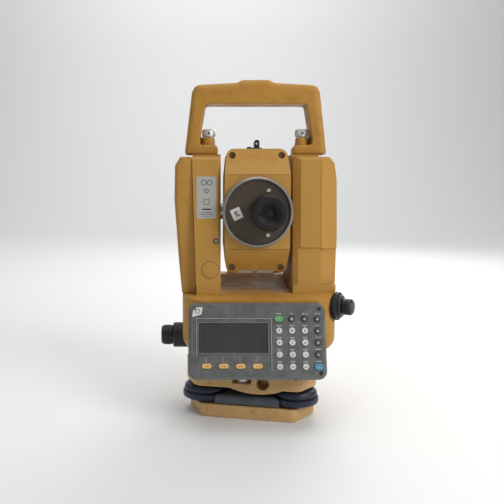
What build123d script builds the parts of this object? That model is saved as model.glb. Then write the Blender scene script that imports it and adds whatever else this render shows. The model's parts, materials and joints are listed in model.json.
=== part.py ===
from build123d import *
import os
from math import cos, pi, radians, sin, sqrt

# Surveying total station on its tribrach, in millimetres.
# Origin: centre of the tripod thread in the underside of the base plate. +Z is up along the vertical
# axis, the keyboard faces -Y, and +X is the user's right. The tribrach stands turned under the alidade.

os.makedirs("parts", exist_ok=True)

# ---- clearances ----
RUNNING = 0.08  # a shaft in its bearing, radially
LOOSE = 0.3  # pieces that move past one another
SEAM = 0.25  # two casings that meet at a joint line
KNOB_GAP = 1.3  # between a foot screw's knob and the tribrach tower above it

# ---- tribrach ----
BASE_T = 13.0  # base plate thickness
BASE_CORNER_OUT = 12.0  # each cut-off corner lies this far outside its foot screw
BASE_CORNER_HALF = 18.6  # half the width of a cut-off corner
BASE_EDGE_R = 6.0
TRIPOD_THREAD_R = 6.8  # 5/8-11 thread, at its minor diameter
FOOT_CIRCLE = 53.0  # centre to each foot screw
BASE_CORNER = FOOT_CIRCLE + BASE_CORNER_OUT
FOOT_ANGLE = 78.0  # direction of the back foot screw
FOOT_KNOB_R = 23.8
FOOT_KNOB_Z = 14.6
FOOT_KNOB_H = 15.0
FOOT_SHAFT_R = 5.0
FOOT_NECK_R = 3.6
FOOT_BALL_R = 5.4
FOOT_BALL_Z = 7.0  # height of the ball centres, on the tilting axis
TILT_LIMIT = 2.0  # degrees each way about the line through feet a and b
TILT_PLAY = 0.6  # room left over at the end of the tilt
COVER_TOP = 23.0  # spring plate cover
COVER_INSET = 0.6  # the cover lies this far inside the sides of the base plate
COVER_CORNER_R = 7.0
COVER_EDGE_R = 3.0
COVER_HOLE_R = 15.0
SPRING_T = 1.6
BODY_TOP = 57.5
BODY_CORNER = FOOT_CIRCLE + 17.0
BODY_CORNER_HALF = 16.0
BODY_EDGE_R = 12.0
BODY_BORE_R = 22.0
TOWER_WALL = 4.0
BELLY_Z = 26.0  # lowest point of the wavy underside, between the foot screws
BELLY_RISE = 8.0
BELLY_HALF = 34.0
BELLY_SHIFT = 10.0  # the lowest point lies this far from the middle of a side
ADJUST_HOLE_R = 6.0
LEVEL_R = 8.2  # circular level
LEVEL_H = 6.0
LEVEL_FLOOR = 36.5
LEVEL_ALONG = 5.0  # left of the middle of the front side
LEVEL_IN = 12.0  # behind the front side
LEVER_R = 5.5
LEVER_LENGTH = 21.0
LEVER_T = 5.0
LEVER_Z = 38.0  # its hub and arm stay under the keyboard as the alidade turns over them

# ---- spindle and horizontal circle ----
FLANGE_R = 38.0
FLANGE_T = 5.0
SPINDLE_R = 11.0
SPINDLE_BORE_R = SPINDLE_R - 5.0
SPINDLE_TOP = 108.0
CIRCLE_R = 36.0
CIRCLE_T = 2.0
CIRCLE_Z = 96.0

# ---- alidade, lower housing ----
SKIRT_Z = 61.0  # round skirt under the housing
SKIRT_R = 54.0
HOUSING_Z = 68.0
HOUSING_LEFT = 73.5
HOUSING_RIGHT = 78.5
HOUSING_FRONT = 56.0
HOUSING_BACK = 66.0
HOUSING_CORNER_R = 24.0
HOUSING_BOTTOM_R = 14.0
HOUSING_WALL = 5.0
FLOOR_Z = 134.0  # top of the housing, where the standards stand
FRONT_SLOPE = (41.0, 121.0)  # the slope starts this far forward of the axis and ends at this height
LIP_STEP = 0.5  # the front lip stands this far above the bottom of the telescope's recess
BACK_SLOPE = (59.0, 126.0)
BUSH_WALL = 6.0
BUSH_H = 26.0

# ---- standards ----
TRUNNION_Z = 205.5
TUBE_HALF_X = 32.0  # half the telescope's width
STANDARD_GAP = TUBE_HALF_X + 3.6  # centre to a standard's inner face
STANDARD_TOP = 259.5
PAD_H = 3.0  # raised pad that a handle foot stands on
PAD_HALF = 14.5
STANDARD_FRONT = (41.0, 31.0)  # reach forward of the axis, at the floor and at the top
STANDARD_BACK = (44.0, 34.0)
LEFT_OUTER = (STANDARD_GAP + 24.4, STANDARD_GAP + 28.2)  # outer face of the left standard, at the floor and at the top
RIGHT_OUTER = STANDARD_GAP + 26.9
RIGHT_BEVEL = 7.4
LEFT_BEVEL = 2.5
AXLE_R = 9.0
AXLE_DEPTH = 20.0
V_CIRCLE_R = 29.0
V_CIRCLE_T = 2.0
V_CIRCLE_X = RIGHT_OUTER - 7.5
V_CAVITY_X = RIGHT_OUTER - 12.5
V_CAVITY_R = V_CIRCLE_R + 3.0

# ---- circle cover, on the right standard ----
COVER_OUT = RIGHT_OUTER + 18.9
COVER_BEVEL = 16.5
COVER_SHELL = 3.0
COVER_CAVITY_R = 20.0
RELIEF_TOP = 171.0  # the front of the right standard is set back below this height
RELIEF_DEPTH = 1.6

# ---- telescope ----
TUBE_FRONT = 41.0
TUBE_BACK = 46.0
BAND_HALF = 36.3  # half the height of the middle band, up to the covers' seams
COVER_END = 62.0
COVER_SLOPE_FRONT = 17.0
COVER_SLOPE_BACK = 18.0
END_HALF_X = TUBE_HALF_X - 2.4
END_CORNER_R = 8.0
SCREW_WELL_R = 3.3
SCREW_WELL_X = TUBE_HALF_X - 7.8
SCREW_WELL_Z = COVER_END - 6.6
SCREW_WELL_FLOOR = 9.0  # behind the middle of the slope
TUBE_BORE_R = 18.0
TUBE_WALL = 5.0
BARREL_R = 27.2
BARREL_END = 71.5
OBJECTIVE_R = 22.5
OBJECTIVE_T = 6.0
OBJECTIVE_SEAT = 58.0
SWING_R = 78.0  # nothing on the telescope reaches further from the trunnion axis
RECESS_GAP = 2.5
RING_R = TUBE_HALF_X + 2.0
RING_WALL = 2.4
RING_END = 48.0
PLATE_FRONT = 45.4
EYE_X = 9.5  # the eyepiece stands off the middle of its plate
EYE_R = 17.0
EYE_FACE_R = 15.2
EYE_END = 71.5
EYE_SPIGOT_R = 12.0
EYE_BORE_R = 6.0
EYE_LENS_T = 2.5
FOCUS_CELL_R = TUBE_BORE_R - LOOSE
FOCUS_CELL_T = 10.0
FOCUS_CELL_Y = -20.0
FOCUS_TRAVEL = 15.0

# ---- peep sight ----
SIGHT_X = 2.0
SIGHT_W = 5.0
SIGHT_H = 8.6
SIGHT_BASE_H = 2.6
SIGHT_LENGTH = 17.0

# ---- keyboard ----
PANEL_ORIGIN = (-1.7, -73.0, 86.5)
PANEL_TILT = 17.9  # degrees back from upright
PANEL_H = 71.6
PANEL_W = 129.4
PANEL_CORNER_R = 8.0
PANEL_EDGE = 2.6
PANEL_WALL = 3.0
PANEL_CAVITY = 4.2
PANEL_SIDE_WALL = 2.4
TRIBRACH_ROOM = BODY_CORNER + 4.6  # the keyboard stays outside this radius down beside the tribrach
WINDOW_W = 64.4
WINDOW_H = 27.2
WINDOW_AT = (-22.5, 2.6)
WINDOW_T = 1.0
WINDOW_RECESS = 1.8
KEY_R = 3.0
KEY_PROUD = 1.3
KEY_TRAVEL = 0.8
KEY_LIP = 0.9
KEY_LIP_T = 1.2
KEY_GRID = (20.5, 20.5)  # first key of the grid
KEY_PITCH = (12.1, 11.1)
FKEY_AT = (-47.5, -23.4)
FKEY_PITCH = 15.8
FKEY_SIZE = (9.4, 4.8)
OVAL_SIZE = (8.4, 6.2)

# ---- black controls ----
CONTROL_YAW = 30.0  # the horizontal controls point this far forward of +X
CONTROL_START = (58.0, -30.0, 113.5)
V_CONTROL_START = (49.5, 30.0, 156.0)
CONTROL_BARREL_R = 11.0
CONTROL_BARREL = (8.0, 21.5)
CLAMP_R = 13.5
CLAMP_T = 8.0
CLAMP_ROOM = 1.5  # free space round the clamp disc
TANGENT_R = 7.6
TANGENT_T = 9.5
TANGENT_SHAFT_R = 3.0
CONTROL_STUB_R = TANGENT_SHAFT_R + 2.0
PLUMMET_Z = 77.0
PLUMMET_Y = -10.0
PLUMMET_R = 12.8
PLUMMET_OUT = 84.3
PLUMMET_IN = 58.0
PLUMMET_EYE_R = 9.9
PLUMMET_EYE_END = 96.4
PLUMMET_SPIGOT_R = 7.0

# ---- battery ----
BATTERY_BOTTOM = 124.3
BATTERY_TOP = STANDARD_TOP - 0.2
# thickness of the pack out from the foot of the standard, with the height that it is measured at
BATTERY_OUTLINE = (
    (14.4, BATTERY_BOTTOM),
    (17.3, 157.0),
    (21.4, 217.0),
    (20.6, BATTERY_TOP - 8.3),
    (15.5, BATTERY_TOP),
)
BATTERY_OUTER = [(LEFT_OUTER[0] + out, z) for out, z in BATTERY_OUTLINE]
BATTERY_FRONT = 30.5
BATTERY_BACK = 33.5
BATTERY_EDGE = 3.0
LATCH_X = (-LEFT_OUTER[0] - 17.0, -LEFT_OUTER[0] - 8.0)
LATCH_Y = (17.0, 29.0)
LATCH_H = 8.0
LATCH_PROUD = 1.6
LATCH_TRAVEL = 2.0

# ---- handle ----
HANDLE_HALF_Y = 13.0
HANDLE_FOOT_IN = STANDARD_GAP + 2.4
HANDLE_FOOT_OUT = HANDLE_FOOT_IN + 34.0
HANDLE_TOP_HALF = HANDLE_FOOT_OUT - 8.5
HANDLE_SEAT = STANDARD_TOP + PAD_H  # what the feet stand on
HANDLE_TOP = HANDLE_SEAT + 69.5
HANDLE_BUMP = HANDLE_TOP + 5.0
HANDLE_BUMP_HALF = 13.5
HANDLE_WINDOW_TOP = HANDLE_TOP - 19.5
HANDLE_WINDOW_HALF = HANDLE_TOP_HALF - 13.0
HANDLE_SHELF_Z = HANDLE_SEAT + 18.1
HANDLE_SHELF_OUT = HANDLE_FOOT_IN + 17.9
HANDLE_SHOULDER_Z = HANDLE_SEAT + 7.5
HANDLE_EDGE_R = 6.5
LOCK_SCREW_X = HANDLE_FOOT_IN + 9.4
LOCK_SCREW_R = 6.7
LOCK_SCREW_H = 7.2
LOCK_SHANK_R = 2.5
LOCK_SHANK_DEPTH = 10.0
LOCK_HOLE_R = LOCK_SHANK_R + 0.5

# ---- plate level ----
PLATE_LEVEL_Y = (45.5, 56.5)
PLATE_LEVEL_HALF = 27.0
PLATE_LEVEL_H = 7.6
VIAL_R = 3.4


# ---- solids in the part's own frame ----
def block(x0, x1, y0, y1, z0, z1):
    """Box between six planes."""
    middle = Pos((x0 + x1) / 2, (y0 + y1) / 2, (z0 + z1) / 2)
    return middle * Box(x1 - x0, y1 - y0, z1 - z0)


def rod_z(radius, z0, z1, x=0.0, y=0.0):
    """Upright cylinder."""
    return Pos(x, y, (z0 + z1) / 2) * Cylinder(radius, z1 - z0)


def rod_x(radius, x0, x1, y=0.0, z=0.0):
    """Cylinder along X."""
    return Pos((x0 + x1) / 2, y, z) * (Rot(0, 90, 0) * Cylinder(radius, x1 - x0))


def rod_y(radius, y0, y1, x=0.0, z=0.0):
    """Cylinder along Y."""
    return Pos(x, (y0 + y1) / 2, z) * (Rot(90, 0, 0) * Cylinder(radius, y1 - y0))


def turned(points):
    """Solid of revolution about Z from (radius, height) points."""
    return revolve(Plane.XZ * make_face(Polyline(*points, close=True)), Axis.Z)


def along(start, direction, solid):
    """Move a solid modelled up Z so that Z runs along a direction from a start point."""
    return Plane(origin=start, z_dir=direction) * solid


def prism_x(points, x0, x1):
    """Side outline of (y, z) points, extruded along X."""
    face = Plane.YZ.offset(x0) * make_face(Polyline(*points, close=True))
    return extrude(face, x1 - x0)


def prism_y(points, y0, y1):
    """Front outline of (x, z) points, extruded along Y."""
    face = Plane(origin=(0, y1, 0), x_dir=(1, 0, 0), z_dir=(0, -1, 0)) * make_face(
        Polyline(*points, close=True)
    )
    return extrude(face, y1 - y0)


def prism_z(points, z0, z1):
    """Plan outline of (x, y) points, extruded up Z."""
    return extrude(Plane.XY.offset(z0) * make_face(Polyline(*points, close=True)), z1 - z0)


def turn(solid, degrees):
    """Turn a solid about the vertical axis."""
    return Rot(0, 0, degrees) * solid


def save(node, *solids):
    """Write one node's solids to its STEP file."""
    shape = solids[0] if len(solids) == 1 else Compound(children=list(solids))
    export_step(shape, f"parts/{node}.step")


# ---- tribrach ----
FEET = {name: FOOT_ANGLE + 120.0 * i for i, name in enumerate(("c", "b", "a"))}
FOOT_TILT_ARM = 1.5 * FOOT_CIRCLE  # from the tilting axis to the back foot screw
LIFT = FOOT_TILT_ARM * sin(radians(TILT_LIMIT))  # travel of the tribrach at the back foot screw
TOWER_Z = {
    "a": FOOT_KNOB_Z + FOOT_KNOB_H + KNOB_GAP,
    "b": FOOT_KNOB_Z + FOOT_KNOB_H + KNOB_GAP,
    "c": FOOT_KNOB_Z
    + FOOT_KNOB_H
    + LIFT
    + (FOOT_KNOB_R + 4) * sin(radians(TILT_LIMIT))
    + TILT_PLAY,
}
SWAY = (BODY_TOP - FOOT_BALL_Z) * sin(radians(TILT_LIMIT))  # sideways travel at the top of a tower
SIDE_DISTANCE = BODY_CORNER * 0.5 + BODY_CORNER_HALF * sqrt(0.75)


def foot_at(name):
    """Plan position of a foot screw."""
    angle = radians(FEET[name])
    return FOOT_CIRCLE * cos(angle), FOOT_CIRCLE * sin(angle)


def cut_triangle(corner, half, z0, z1, edge_r):
    """Triangle with cut-off corners towards the foot screws, its upright edges rounded."""
    points = []
    for angle in sorted(FEET.values()):
        a = radians(angle)
        for side in (-half, half):
            points.append((corner * cos(a) - side * sin(a), corner * sin(a) + side * cos(a)))
    plate = prism_z(points, z0, z1)
    return fillet(plate.edges().filter_by(Axis.Z), edge_r)


def base_plate():
    """Triangular base plate with the tripod thread and a pocket for each foot screw's ball."""
    plate = cut_triangle(BASE_CORNER, BASE_CORNER_HALF, 0, BASE_T, BASE_EDGE_R)
    plate -= rod_z(TRIPOD_THREAD_R, -1, BASE_T + 1)
    for name in FEET:
        x, y = foot_at(name)
        pocket = FOOT_BALL_R + LOOSE
        plate -= rod_z(pocket, FOOT_BALL_Z - pocket, BASE_T + 1, x, y)
    plate = chamfer(plate.faces().sort_by(Axis.Z)[-1].outer_wire().edges(), 1.2)
    return plate


def spring_plate():
    """Spring plate that holds the balls down, and the dark cover over its middle."""
    knob_room = FOOT_KNOB_R + 1.6
    cover = cut_triangle(
        BASE_CORNER - 2 * COVER_INSET, BASE_CORNER_HALF, BASE_T + SPRING_T, COVER_TOP, COVER_CORNER_R
    )
    cover = fillet(cover.faces().sort_by(Axis.Z)[-1].outer_wire().edges(), COVER_EDGE_R)
    cover -= rod_z(COVER_HOLE_R, BASE_T, COVER_TOP + 1)
    spring = cut_triangle(BASE_CORNER - 6, BASE_CORNER_HALF - 2, BASE_T, BASE_T + SPRING_T, BASE_EDGE_R)
    spring -= rod_z(COVER_HOLE_R, 0, COVER_TOP)
    for name in FEET:
        x, y = foot_at(name)
        cover -= rod_z(knob_room, 0, COVER_TOP + 1, x, y)
        spring -= rod_z(FOOT_KNOB_R, 0, COVER_TOP, x, y)
    return cover, spring


def foot_screw(name):
    """Foot screw: ball end, neck, knob and threaded shaft."""
    top = FOOT_KNOB_Z + FOOT_KNOB_H
    knob = [
        (0, FOOT_KNOB_Z),
        (FOOT_KNOB_R - 3.5, FOOT_KNOB_Z),
        (FOOT_KNOB_R - 0.8, FOOT_KNOB_Z + 1.6),
        (FOOT_KNOB_R, FOOT_KNOB_Z + 3.8),
        (FOOT_KNOB_R - 0.5, FOOT_KNOB_Z + 6.6),
        (FOOT_KNOB_R - 2.2, FOOT_KNOB_Z + 7.8),
        (FOOT_KNOB_R - 1.6, FOOT_KNOB_Z + 9.6),
        (FOOT_KNOB_R - 1.9, top - 3.4),
        (FOOT_KNOB_R - 3.6, top - 1.2),
        (FOOT_KNOB_R - 7.0, top),
        (0, top),
    ]
    screw = turned(knob) + rod_z(FOOT_NECK_R, FOOT_BALL_Z, FOOT_KNOB_Z + 1)
    screw += Pos(0, 0, FOOT_BALL_Z) * Sphere(FOOT_BALL_R)
    screw += rod_z(FOOT_SHAFT_R, top - 1, BODY_TOP - TOWER_WALL - TILT_PLAY)
    return Pos(*foot_at(name), 0) * screw


def tribrach_body():
    """Three towers round a hub, with a wavy underside between the foot screws."""
    low = min(TOWER_Z.values())
    body = cut_triangle(BODY_CORNER, BODY_CORNER_HALF, low, BODY_TOP, BODY_EDGE_R)
    skirt = cut_triangle(BODY_CORNER, BODY_CORNER_HALF, BELLY_Z - 1, low, BODY_EDGE_R)
    for angle in FEET.values():
        face = Plane(origin=(0, 0, 0), x_dir=(0, 1, 0), z_dir=(1, 0, 0)) * make_face(
            Curve()
            + [
                ThreePointArc(
                    (BELLY_SHIFT - BELLY_HALF, BELLY_Z + BELLY_RISE),
                    (BELLY_SHIFT, BELLY_Z),
                    (BELLY_SHIFT + BELLY_HALF, BELLY_Z + BELLY_RISE),
                ),
                Line(
                    (BELLY_SHIFT + BELLY_HALF, BELLY_Z + BELLY_RISE),
                    (BELLY_SHIFT - BELLY_HALF, BELLY_Z + BELLY_RISE),
                ),
            ]
        )
        body += turn(extrude(face, SIDE_DISTANCE + 10), angle + 60) & skirt
    body = chamfer(body.faces().sort_by(Axis.Z)[-1].outer_wire().edges(), 2.0)
    body -= rod_z(BODY_BORE_R, 0, BODY_TOP + 1)
    for name in FEET:
        x, y = foot_at(name)
        body -= rod_z(FOOT_KNOB_R + 1.6, 0, TOWER_Z[name], x, y)
        play = LOOSE + (SWAY if name == "c" else 0)
        body -= rod_z(FOOT_SHAFT_R + play, 0, BODY_TOP - TOWER_WALL + LIFT, x, y)
    return body - tribrach_front_cuts() - lever_pivot(0.15)


def front_frame(solid):
    """Place a solid modelled with +X outwards at the middle of the tribrach's front side."""
    return turn(solid, FEET["b"] + 60)


def tribrach_front_cuts():
    """Adjusting screw's hole and the level's notch, in the front side."""
    hole = rod_x(ADJUST_HOLE_R, SIDE_DISTANCE - 14, SIDE_DISTANCE + 2, 16, 37)
    centre = SIDE_DISTANCE - LEVEL_IN
    half = LEVEL_R + 1.2
    notch = block(centre - half, SIDE_DISTANCE + 2, -LEVEL_ALONG - half, -LEVEL_ALONG + half, LEVEL_FLOOR, 46)
    return front_frame(hole) + front_frame(notch)


def circular_level():
    """Circular level in the front notch: a cup, and the glass in it."""
    centre = SIDE_DISTANCE - LEVEL_IN
    cup = rod_z(LEVEL_R, 0, LEVEL_H) - rod_z(LEVEL_R - 1.6, 2, LEVEL_H + 1)
    glass = rod_z(LEVEL_R - 1.6, 2, LEVEL_H + 0.8)
    place = Pos(centre, -LEVEL_ALONG, LEVEL_FLOOR)
    return front_frame(place * cup), front_frame(place * glass)


def lever_pivot(gap):
    """Pin of the lock lever, running into the middle of the side next to foot a."""
    return turn(rod_x(LEVER_R - 2 + gap, SIDE_DISTANCE - 12 - gap, SIDE_DISTANCE + 1, 0, LEVER_Z), FEET["a"] + 60)


def lock_lever():
    """Lock lever: pin, hub and arm, the arm lying to the left as seen from outside."""
    x0 = SIDE_DISTANCE + LOOSE
    hub = rod_x(LEVER_R, x0, x0 + LEVER_T, 0, LEVER_Z)
    arm = block(x0, x0 + LEVER_T, 0, LEVER_LENGTH - 4, LEVER_Z - 4, LEVER_Z + 4)
    tip = rod_x(4, x0, x0 + LEVER_T, LEVER_LENGTH - 4, LEVER_Z)
    pin = rod_x(LEVER_R - 2, SIDE_DISTANCE - 12, x0, 0, LEVER_Z)
    return turn(hub + arm + tip + pin, FEET["a"] + 60)


def make_tribrach():
    save("base_plate", base_plate())
    save("spring_plate", *spring_plate())
    for name in FEET:
        save(f"foot_screw_{name}", foot_screw(name))
    save("tribrach_body", tribrach_body())
    save("circular_level", *circular_level())
    save("lock_lever", lock_lever())


def make_spindle():
    """Flange that stands on the tribrach, hollow spindle, and the horizontal circle on its collar."""
    top = BODY_TOP + FLANGE_T
    spindle = rod_z(FLANGE_R, BODY_TOP, top) + rod_z(SPINDLE_R, top - 1, SPINDLE_TOP)
    spindle += rod_z(SPINDLE_R + 4, CIRCLE_Z - 3, CIRCLE_Z)
    spindle -= rod_z(SPINDLE_BORE_R, BODY_TOP - 1, SPINDLE_TOP + 1)
    circle = rod_z(CIRCLE_R, CIRCLE_Z, CIRCLE_Z + CIRCLE_T) - rod_z(SPINDLE_R, 0, SPINDLE_TOP)
    save("spindle", spindle, circle)


# ---- alidade ----
def control_axis():
    """Direction of the horizontal controls."""
    return cos(radians(CONTROL_YAW)), -sin(radians(CONTROL_YAW)), 0


def lower_housing():
    """Lower casing of the alidade: a hollow box on the spindle, with the telescope's recess on top."""
    centre = Pos((HOUSING_RIGHT - HOUSING_LEFT) / 2, (HOUSING_BACK - HOUSING_FRONT) / 2)
    width, depth = HOUSING_LEFT + HOUSING_RIGHT, HOUSING_FRONT + HOUSING_BACK
    plan = centre * RectangleRounded(width, depth, HOUSING_CORNER_R)
    casing = extrude(Plane.XY.offset(HOUSING_Z) * plan, FLOOR_Z - HOUSING_Z)
    casing = fillet(casing.faces().sort_by(Axis.Z)[0].outer_wire().edges(), HOUSING_BOTTOM_R)
    start, height = FRONT_SLOPE
    edge = HOUSING_FRONT + 1
    lip = TRUNNION_Z - SWING_R - RECESS_GAP + LIP_STEP
    front = [(-start, lip), (-HOUSING_FRONT, height), (-edge, height), (-edge, FLOOR_Z + 1), (-start, FLOOR_Z + 1)]
    start, height = BACK_SLOPE
    edge = HOUSING_BACK + 1
    back = [(start, FLOOR_Z), (HOUSING_BACK, height), (edge, height), (edge, FLOOR_Z + 1), (start, FLOOR_Z + 1)]
    casing -= prism_x(front, -HOUSING_LEFT, HOUSING_RIGHT) + prism_x(back, -HOUSING_LEFT, HOUSING_RIGHT)
    ledge = 2 * SEAM - LEFT_OUTER[0]
    casing -= block(-HOUSING_LEFT - 1, ledge, -90, 90, BATTERY_BOTTOM - SEAM, FLOOR_Z + 1)
    casing += rod_z(SKIRT_R, SKIRT_Z, HOUSING_Z + HOUSING_BOTTOM_R)
    casing -= rod_x(SWING_R + RECESS_GAP, -STANDARD_GAP, STANDARD_GAP, 0, TRUNNION_Z)
    casing -= block(-STANDARD_GAP, STANDARD_GAP, -HOUSING_FRONT, 0, lip, FLOOR_Z + 1)
    relief = RELIEF_DEPTH - STANDARD_FRONT[0]
    casing -= block(STANDARD_GAP - 0.01, HOUSING_RIGHT + 1, -HOUSING_FRONT, relief, lip, FLOOR_Z + 1)
    return casing - housing_inside() + spindle_bush() - control_pockets()


def housing_inside():
    """Room inside the lower housing for the horizontal circle."""
    wall = HOUSING_WALL
    roof = TRUNNION_Z - SWING_R - RECESS_GAP - wall
    room = rod_z(SKIRT_R - wall, SKIRT_Z + wall + LOOSE, roof)
    flange_room = rod_z(FLANGE_R + 2, SKIRT_Z - 1, BODY_TOP + FLANGE_T + LOOSE)
    return room + flange_room + rod_z(SPINDLE_R + 1, SKIRT_Z, HOUSING_Z + 10)


def spindle_bush():
    """Bush that turns on the spindle."""
    z0 = BODY_TOP + FLANGE_T + LOOSE
    bush = rod_z(SPINDLE_R + BUSH_WALL, z0, z0 + BUSH_H) - rod_z(SPINDLE_R + RUNNING, 0, SPINDLE_TOP)
    web = rod_z(SPINDLE_R + BUSH_WALL + 2, z0, z0 + HOUSING_WALL) - rod_z(SPINDLE_R + 2, 0, SPINDLE_TOP)
    return bush + web


def control_pockets():
    """Holes in the lower housing for the horizontal controls and the plummet barrel."""
    t0 = CONTROL_BARREL[0] - SEAM
    pocket = along(CONTROL_START, control_axis(), rod_z(CONTROL_BARREL_R + SEAM, t0, 60))
    shaft = along(CONTROL_START, control_axis(), rod_z(TANGENT_SHAFT_R + LOOSE, t0 - 6, 60))
    shaft += along(CONTROL_START, control_axis(), rod_z(CLAMP_R + CLAMP_ROOM, CONTROL_BARREL[1] - 1, 60))
    barrel = rod_x(PLUMMET_R + SEAM, -100, SEAM - PLUMMET_IN, PLUMMET_Y, PLUMMET_Z)
    return pocket + shaft + barrel


def side_outline(z0, z1):
    """Side outline of a standard between two heights, as (y, z) points."""
    span = STANDARD_TOP - FLOOR_Z

    def reach(pair, z):
        return pair[0] + (pair[1] - pair[0]) * (z - FLOOR_Z) / span

    return [
        (-reach(STANDARD_FRONT, z0), z0),
        (-reach(STANDARD_FRONT, z1 - 3), z1 - 3),
        (3 - reach(STANDARD_FRONT, z1), z1),
        (reach(STANDARD_BACK, z1) - 3, z1),
        (reach(STANDARD_BACK, z1 - 3), z1 - 3),
        (reach(STANDARD_BACK, z0), z0),
    ]


def bevel_front_edge(x_edge, x_in, depth):
    """Cutter for a sloping bevel along a standard's front edge, from x_edge to x_in."""
    plan = [(x_edge, -80), (x_edge, depth), (x_in, 0), (x_in, -80)]
    cutter = prism_z(plan, 0, 200)
    lean = (STANDARD_FRONT[0] - STANDARD_FRONT[1]) / (STANDARD_TOP - FLOOR_Z)
    tilt = Rot(-(180 / pi) * lean, 0, 0)
    return Pos(0, -STANDARD_FRONT[0], FLOOR_Z) * (tilt * (Pos(0, 0, -20) * cutter))


def left_standard():
    """Left standard: bearing for the axle, pad and thread for the handle."""
    bottom, top = LEFT_OUTER
    front = [(-bottom, FLOOR_Z), (-top, STANDARD_TOP), (-STANDARD_GAP, STANDARD_TOP), (-STANDARD_GAP, FLOOR_Z)]
    body = prism_y(front, -60, 60) & prism_x(side_outline(FLOOR_Z, STANDARD_TOP), -90, 0)
    body -= bevel_front_edge(-STANDARD_GAP, -STANDARD_GAP - LEFT_BEVEL, LEFT_BEVEL)
    body += block(-top, -STANDARD_GAP, -PAD_HALF, PAD_HALF, STANDARD_TOP - 1, STANDARD_TOP + PAD_H)
    body -= rod_x(AXLE_R + RUNNING, -STANDARD_GAP - AXLE_DEPTH, 0, 0, TRUNNION_Z)
    return body - lock_hole(-LOCK_SCREW_X)


def right_standard():
    """Right standard: bearing for the axle, and the room for the vertical circle."""
    body = block(STANDARD_GAP, RIGHT_OUTER, -60, 60, FLOOR_Z, STANDARD_TOP)
    body &= prism_x(side_outline(FLOOR_Z, STANDARD_TOP), 0, 90)
    body -= bevel_front_edge(STANDARD_GAP, STANDARD_GAP + RIGHT_BEVEL, RIGHT_BEVEL * 0.7)
    body -= front_relief(STANDARD_GAP, RIGHT_OUTER)
    body += block(STANDARD_GAP, RIGHT_OUTER, -PAD_HALF, PAD_HALF, STANDARD_TOP - 1, STANDARD_TOP + PAD_H)
    body -= rod_x(AXLE_R + RUNNING, 0, RIGHT_OUTER + 1, 0, TRUNNION_Z)
    body -= rod_x(V_CAVITY_R, V_CAVITY_X, RIGHT_OUTER + 1, 0, TRUNNION_Z)
    t0 = CONTROL_BARREL[0] - SEAM
    body -= along(V_CONTROL_START, (0, 1, 0), rod_z(CONTROL_BARREL_R + SEAM, t0, 60))
    body -= along(V_CONTROL_START, (0, 1, 0), rod_z(TANGENT_SHAFT_R + LOOSE, t0 - 6, 60))
    return body - lock_hole(LOCK_SCREW_X)


def lock_hole(x):
    """Hole in a standard's top for a handle lock screw."""
    return rod_z(LOCK_HOLE_R, HANDLE_SEAT - LOCK_SHANK_DEPTH - 2, HANDLE_SEAT + 1, x)


def circle_cover():
    """Bevelled outer cover of the right standard, a shell over the vertical circle."""
    x0 = RIGHT_OUTER + SEAM
    outer = [
        (x0, FLOOR_Z),
        (COVER_OUT - 1.6, FLOOR_Z),
        (COVER_OUT, FLOOR_Z + 50),
        (COVER_OUT - 0.6, STANDARD_TOP - 22),
        (COVER_OUT - 3.2, STANDARD_TOP - 6),
        (COVER_OUT - 9, STANDARD_TOP - 0.2),
        (x0, STANDARD_TOP - 0.2),
    ]
    body = prism_y(outer, -60, 60) & prism_x(side_outline(FLOOR_Z, STANDARD_TOP), 0, 90)
    body -= bevel_front_edge(COVER_OUT + 1, x0 + 0.5, COVER_BEVEL)
    back = mirror(bevel_front_edge(COVER_OUT + 1, x0 + 0.5, COVER_BEVEL), Plane.XZ)
    body -= Pos(0, STANDARD_BACK[0] - STANDARD_FRONT[0], 0) * back
    body -= front_relief(x0 - 1, COVER_OUT) + lower_bevel(x0)
    return body - rod_x(COVER_CAVITY_R, x0 - 1, COVER_OUT - COVER_SHELL - 3, 0, TRUNNION_Z)


def front_relief(x0, x1):
    """Cutter that sets the lower part of the right standard's front back a little."""
    lean = (STANDARD_FRONT[0] - STANDARD_FRONT[1]) / (STANDARD_TOP - FLOOR_Z)

    def front(z):
        return lean * (z - FLOOR_Z) - STANDARD_FRONT[0]

    z1 = RELIEF_TOP
    outline = [
        (-90, FLOOR_Z - 1),
        (front(FLOOR_Z) + RELIEF_DEPTH, FLOOR_Z - 1),
        (front(z1) + RELIEF_DEPTH, z1 - RELIEF_DEPTH),
        (front(z1), z1),
        (-90, z1),
    ]
    return prism_x(outline, x0, x1)


def lower_bevel(x0):
    """Cutter that carries the set-back of the lower front round the cover's bevel."""
    cutter = Pos(0, RELIEF_DEPTH, 0) * bevel_front_edge(COVER_OUT + 1, x0 + 0.5 - 2 * RELIEF_DEPTH, COVER_BEVEL)
    return cutter & block(0, 120, -120, 0, FLOOR_Z - 1, RELIEF_TOP - RELIEF_DEPTH)


def control_barrel(start, direction):
    """Fixed black housing of a clamp and tangent pair, with the stub that the clamp turns on."""
    t0, t1 = CONTROL_BARREL
    stub_end = t1 + CLAMP_T + 0.7
    barrel = rod_z(CONTROL_BARREL_R, t0, t1) + rod_z(CONTROL_STUB_R, t1 - 1, stub_end)
    barrel = chamfer(barrel.edges().group_by(Axis.Z)[0], 1.0)
    barrel -= rod_z(TANGENT_SHAFT_R + 0.15, t0 - 1, stub_end + 1)
    return along(start, direction, barrel)


def clamp_disc(start, direction):
    """Clamp disc that turns on the stub."""
    z0 = CONTROL_BARREL[1] + LOOSE
    z1 = z0 + CLAMP_T
    disc = [
        (0, z0),
        (CLAMP_R - 1.4, z0),
        (CLAMP_R, z0 + 1.2),
        (CLAMP_R, z0 + 4.6),
        (CLAMP_R - 2.2, z0 + 5.4),
        (CLAMP_R - 2.6, z1 - 0.8),
        (CLAMP_R - 3.6, z1),
        (0, z1),
    ]
    return along(start, direction, turned(disc) - rod_z(CONTROL_STUB_R + 0.12, z0 - 1, z1 + 1))


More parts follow.
